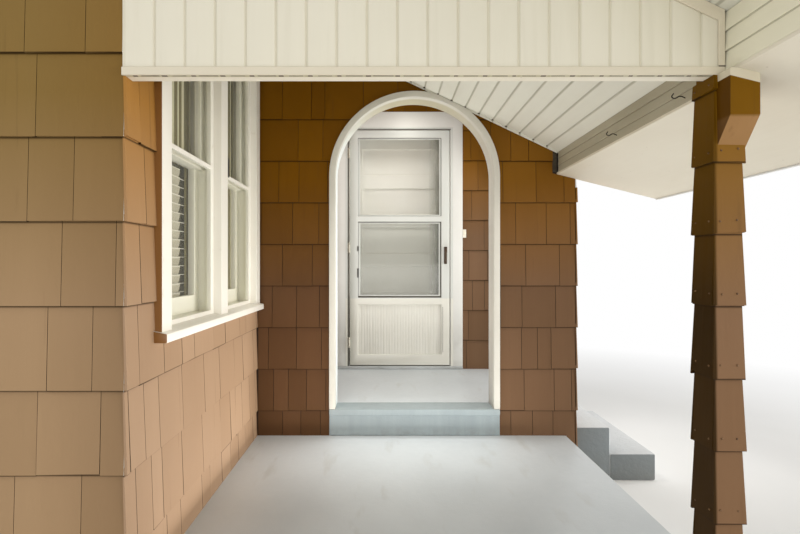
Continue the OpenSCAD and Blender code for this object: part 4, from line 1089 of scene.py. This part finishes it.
# Painted shade and highlight: the folds' hollows olive, their crests cream.
tone = folds(place.part(1)).rising(0.1, 0.8).between((118, 109, 62), (230, 224, 186))
put(skin, Base_Color=(weave * 0.3).between(tone, (110, 100, 68)), Normal=weave.relief(0.0006))
tree, (near, far, low, high, back, depth, paint) = pattern(
    "curtain", Near=-1.4, Far=-0.8, Low=WINDOW_FOOT, High=WINDOW_HEAD, Back=SASH_BACK,
    Depth=0.0045, Finish=None)
cloth = bricks(near.node("GeometryNodePoints", None, {"Count": 1}), 2, 140, 6)
inward, along, up = recall(cloth, "cell")
y = near + along * (far - near)
close(cloth, vector(back - 0.007 + folds(y) * depth + inward * 0.0015, y,
                    low + up * (high - low)), paint)
curtain_pattern = tree
blind_slat, skin, place = finish("blind_slat", rough=0.5)
tone = place.noise(12, 3, (1, 0.2, 1)).between((196, 190, 166), (174, 166, 140))
# Painted highlight along the top edge of each slat.
put(skin, Base_Color=band_under_laps(place, 1.251, 0.040, 0.007).between(tone, (236, 232, 214)))
dark_room_shade = mottled("dark_room_shade", 9, (74, 68, 46), (98, 90, 64), 4, rough=0.95)
tree, (near, far, low, pitch, height, lean, back, paint) = pattern(
    "blind_slats", Near=-1.43, Far=-0.985, Low=1.249, Pitch=0.040, Height=0.041, Lean=0.010,
    Back=SASH_BACK, Finish=None)
index = pitch.node("GeometryNodeInputIndex")
points = pitch.node("GeometryNodePoints", None, {"Count": 16})
points = kept(points, "habit", vector(index, chance(-1.0, 1.0, index, 8), 0.0))
slats = bricks(points, 2, 2, 5)
inward, along, up = recall(slats, "cell")
number, off = recall(slats, "habit")[:2]
crown = up * (1 - up) * 0.008
close(slats, vector(back - 0.012 + up * lean + crown + inward * 0.0008,
                    near + along * (far - near),
                    low + number * pitch + up * height + off * 0.001), paint)
hung = [lay("curtain", curtain_pattern, Near=near, Far=far, Low=low, High=high,
            Finish=curtain_cloth)
        for near, far, low, high in (
            (*WINDOWS[0], MEETING, WINDOW_HEAD), (-0.915, WINDOWS[0][1], WINDOW_FOOT, MEETING),
            (*WINDOWS[1], WINDOW_FOOT, WINDOW_HEAD))]
hung.append(lay("slats", tree, Finish=blind_slat))
hung.append(lay("slat_ends", tree, Near=-0.985, Far=-0.915, Height=0.0035, Lean=0.001,
                Finish=blind_slat))
# Dark sheets of painted shade behind the curtains, for the dark room.
for near, far in WINDOWS:
    hung.append(slab((-1.150, near, WINDOW_FOOT), (-1.147, far, WINDOW_HEAD), dark_room_shade))
rest(joined("window_curtains", hung), "house", "blind", "window_blinds")
latch = slab((-0.990, -0.7290, 1.900), (-0.979, -0.7000, 1.994), black_wire)
rest(latch, "house", "bronze")


# The doorway: a white frame and casing, painted hinges that rust through in spots, and a grey
# threshold that feet have worn paler and darker.
door_paint, skin, place, tone, brushed = oil_paint(
    "door_paint", (240, 239, 232), (224, 222, 210), 0.35, (1, 1, 0.08))
put(skin, Base_Color=tone, Normal=brushed.relief(0.0007))
eased("door_casing", white_trim, "white_trim", 0.003, 3)
eased("door_frame", door_paint, "door_paint", 0.002, 2)
hinge_steel, skin, place = finish("hinge_steel", metal=0.2, rough=0.45)
put(skin, Base_Color=place.noise(80, 4).rising(0.4, 0.7).between((206, 202, 188), (136, 128, 110)))
eased("door_hinges", hinge_steel, "hinge_steel", 0.0008, 2)
sill_grey, skin, place = finish("threshold_paint", rough=0.45)
put(skin, Base_Color=place.noise(14, 6, (0.3, 1, 1)).rising(0.4, 0.7).between(
    (186, 190, 190), (150, 152, 150)), Normal=place.noise(60, 5).relief(0.001))
eased("threshold", sill_grey, "sill_paint", 0.005, 3)


# The storm door: a white aluminium frame with a glazing bar across, clear glass over glass that a
# screen greys, a ribbed kick panel below and a dark pull handle.
storm_pane, skin, place = finish("storm_pane", rough=0.03)
edge = place.node("ShaderNodeFresnel", None, {"IOR": 1.45})
film = place.noise(6, 5)
# Painted shadow: a darker, less clear band at the right of each pane, for the shade between the
# doors.
shadow_band = place.part(0).rising(0.20, 0.285) * place.noise(5, 3, (1, 1, 0.4)).rising(0.25, 0.6)
tone = film.between((144, 146, 136), (172, 174, 164))
put(skin, Base_Color=shadow_band.between(tone, (104, 106, 96)),
    Alpha=edge * 0.2 + film * 0.02 + place.part(2).rising(1.87, 1.86) * 0.22 + shadow_band * 0.4)
dressed("storm_glass", storm_pane)
storm_white, skin, place = finish("storm_aluminium", rough=0.35)
tone = place.noise(5, 5).between((220, 219, 210), (208, 206, 195))
tone = (place.part(2).rising(1.160, 1.168) * 0.8).between(tone, (197, 200, 196))
shade = place.part(0).rising(-0.430, -0.490) * place.part(0).rising(-0.515, -0.500)
put(skin, Base_Color=(shade * 0.3).between(tone, (136, 138, 122)),
    Normal=place.noise(90, 4).relief(0.0003))
eased("storm_door", storm_white, "storm_aluminium", 0.003, 3, "storm_door")
eased("storm_kick_panel", storm_white, "storm_aluminium", 0.001, 2, "storm_door")
bronze = mottled("dark_bronze", 40, (62, 50, 42), (92, 74, 58), 4, metal=0.7, rough=0.35)
eased("storm_handle", bronze, "bronze", 0.003, 3, "storm_door")


# On the storm door: narrow glazing frames with dark gaskets, spring clips that let the lower pane
# out, a rubber sweep, and the flat metal angle that hangs the door from the casing.
rubber = mottled("dark_rubber", 70, (58, 56, 50), (88, 84, 74), rough=0.7)
STORM_FACE, LIGHT_X = 1.290, (-0.423, 0.311)


def rim(x0, x1, z0, z1, near, far, left, right, low, high, paint):
    """Four strips round the inside of an opening, with a width for each side."""
    return [slab((x0, near, z0), (x0 + left, far, z1), paint),
            slab((x1 - right, near, z0), (x1, far, z1), paint),
            slab((x0 + left, near, z0), (x1 - right, far, z0 + low), paint),
            slab((x0 + left, near, z1 - high), (x1 - right, far, z1), paint)]


fittings = []
for z0, z1, left, right, low, high in ((1.171, 1.840, 0.004, 0.010, 0.014, 0.006),
                                       (1.889, 2.579, 0.003, 0.005, 0.003, 0.004)):
    fittings += rim(*LIGHT_X, z0, z1, STORM_FACE + 0.004, STORM_FACE + 0.013, left, right, low,
                    high, rubber)
    fittings += rim(LIGHT_X[0] + left, LIGHT_X[1] - right, z0 + low, z1 - high,
                    STORM_FACE + 0.007, STORM_FACE + 0.013, 0.016, 0.012, 0.010, 0.010,
                    storm_white)
fittings.append(slab((0.3225, STORM_FACE - 0.0006, 0.690), (0.3255, STORM_FACE + 0.001, 1.090),
                     rubber))
fittings.append(slab((-0.494, STORM_FACE + 0.004, 0.5702), (0.382, STORM_FACE + 0.028, 0.5768),
                     rubber))
for low, high in ((1.348, 1.429), (1.583, 1.624)):
    fittings.append(slab((-0.428, STORM_FACE - 0.004, low), (-0.417, STORM_FACE + 0.006, high),
                         black_wire))
rest(joined("storm_door_fittings", fittings), "storm_door", "storm_aluminium")
SILL, LINTEL, HEAD = 0.5685, 2.6595, 2.672
METAL, SEAL = (1.2895, 1.2919), (1.2903, 1.2922)
strips = []
for x0, x1, z0, z1, (near, far), paint in (
        (-0.532, -0.515, SILL, HEAD, METAL, storm_white),
        (0.396, 0.414, SILL, HEAD, METAL, storm_white),
        (-0.515, 0.396, LINTEL, HEAD, METAL, storm_white),
        (-0.5145, -0.5035, SILL, LINTEL, SEAL, rubber),
        (-0.5035, 0.396, LINTEL - 0.007, LINTEL, SEAL, rubber)):
    strips.append(slab((x0, near, z0), (x1, far, z1), paint))
rest(joined("door_angle", strips), "house", "storm_aluminium")


# The house door: sunk panels between rails, in the white oil paint of its frame. It shows
# through the storm door's glass.
eased("house_door", door_paint, "door_paint", 0.003, 2, "house_door")


# The bell: a narrow plastic push plate on the shingles beside the casing, in a white that has
# yellowed unevenly.
bell_plastic = mottled("bell_plastic", 30, (238, 234, 220), (224, 218, 200), rough=0.3)
eased("door_bell", bell_plastic, "bell_plastic", 0.002, 3)
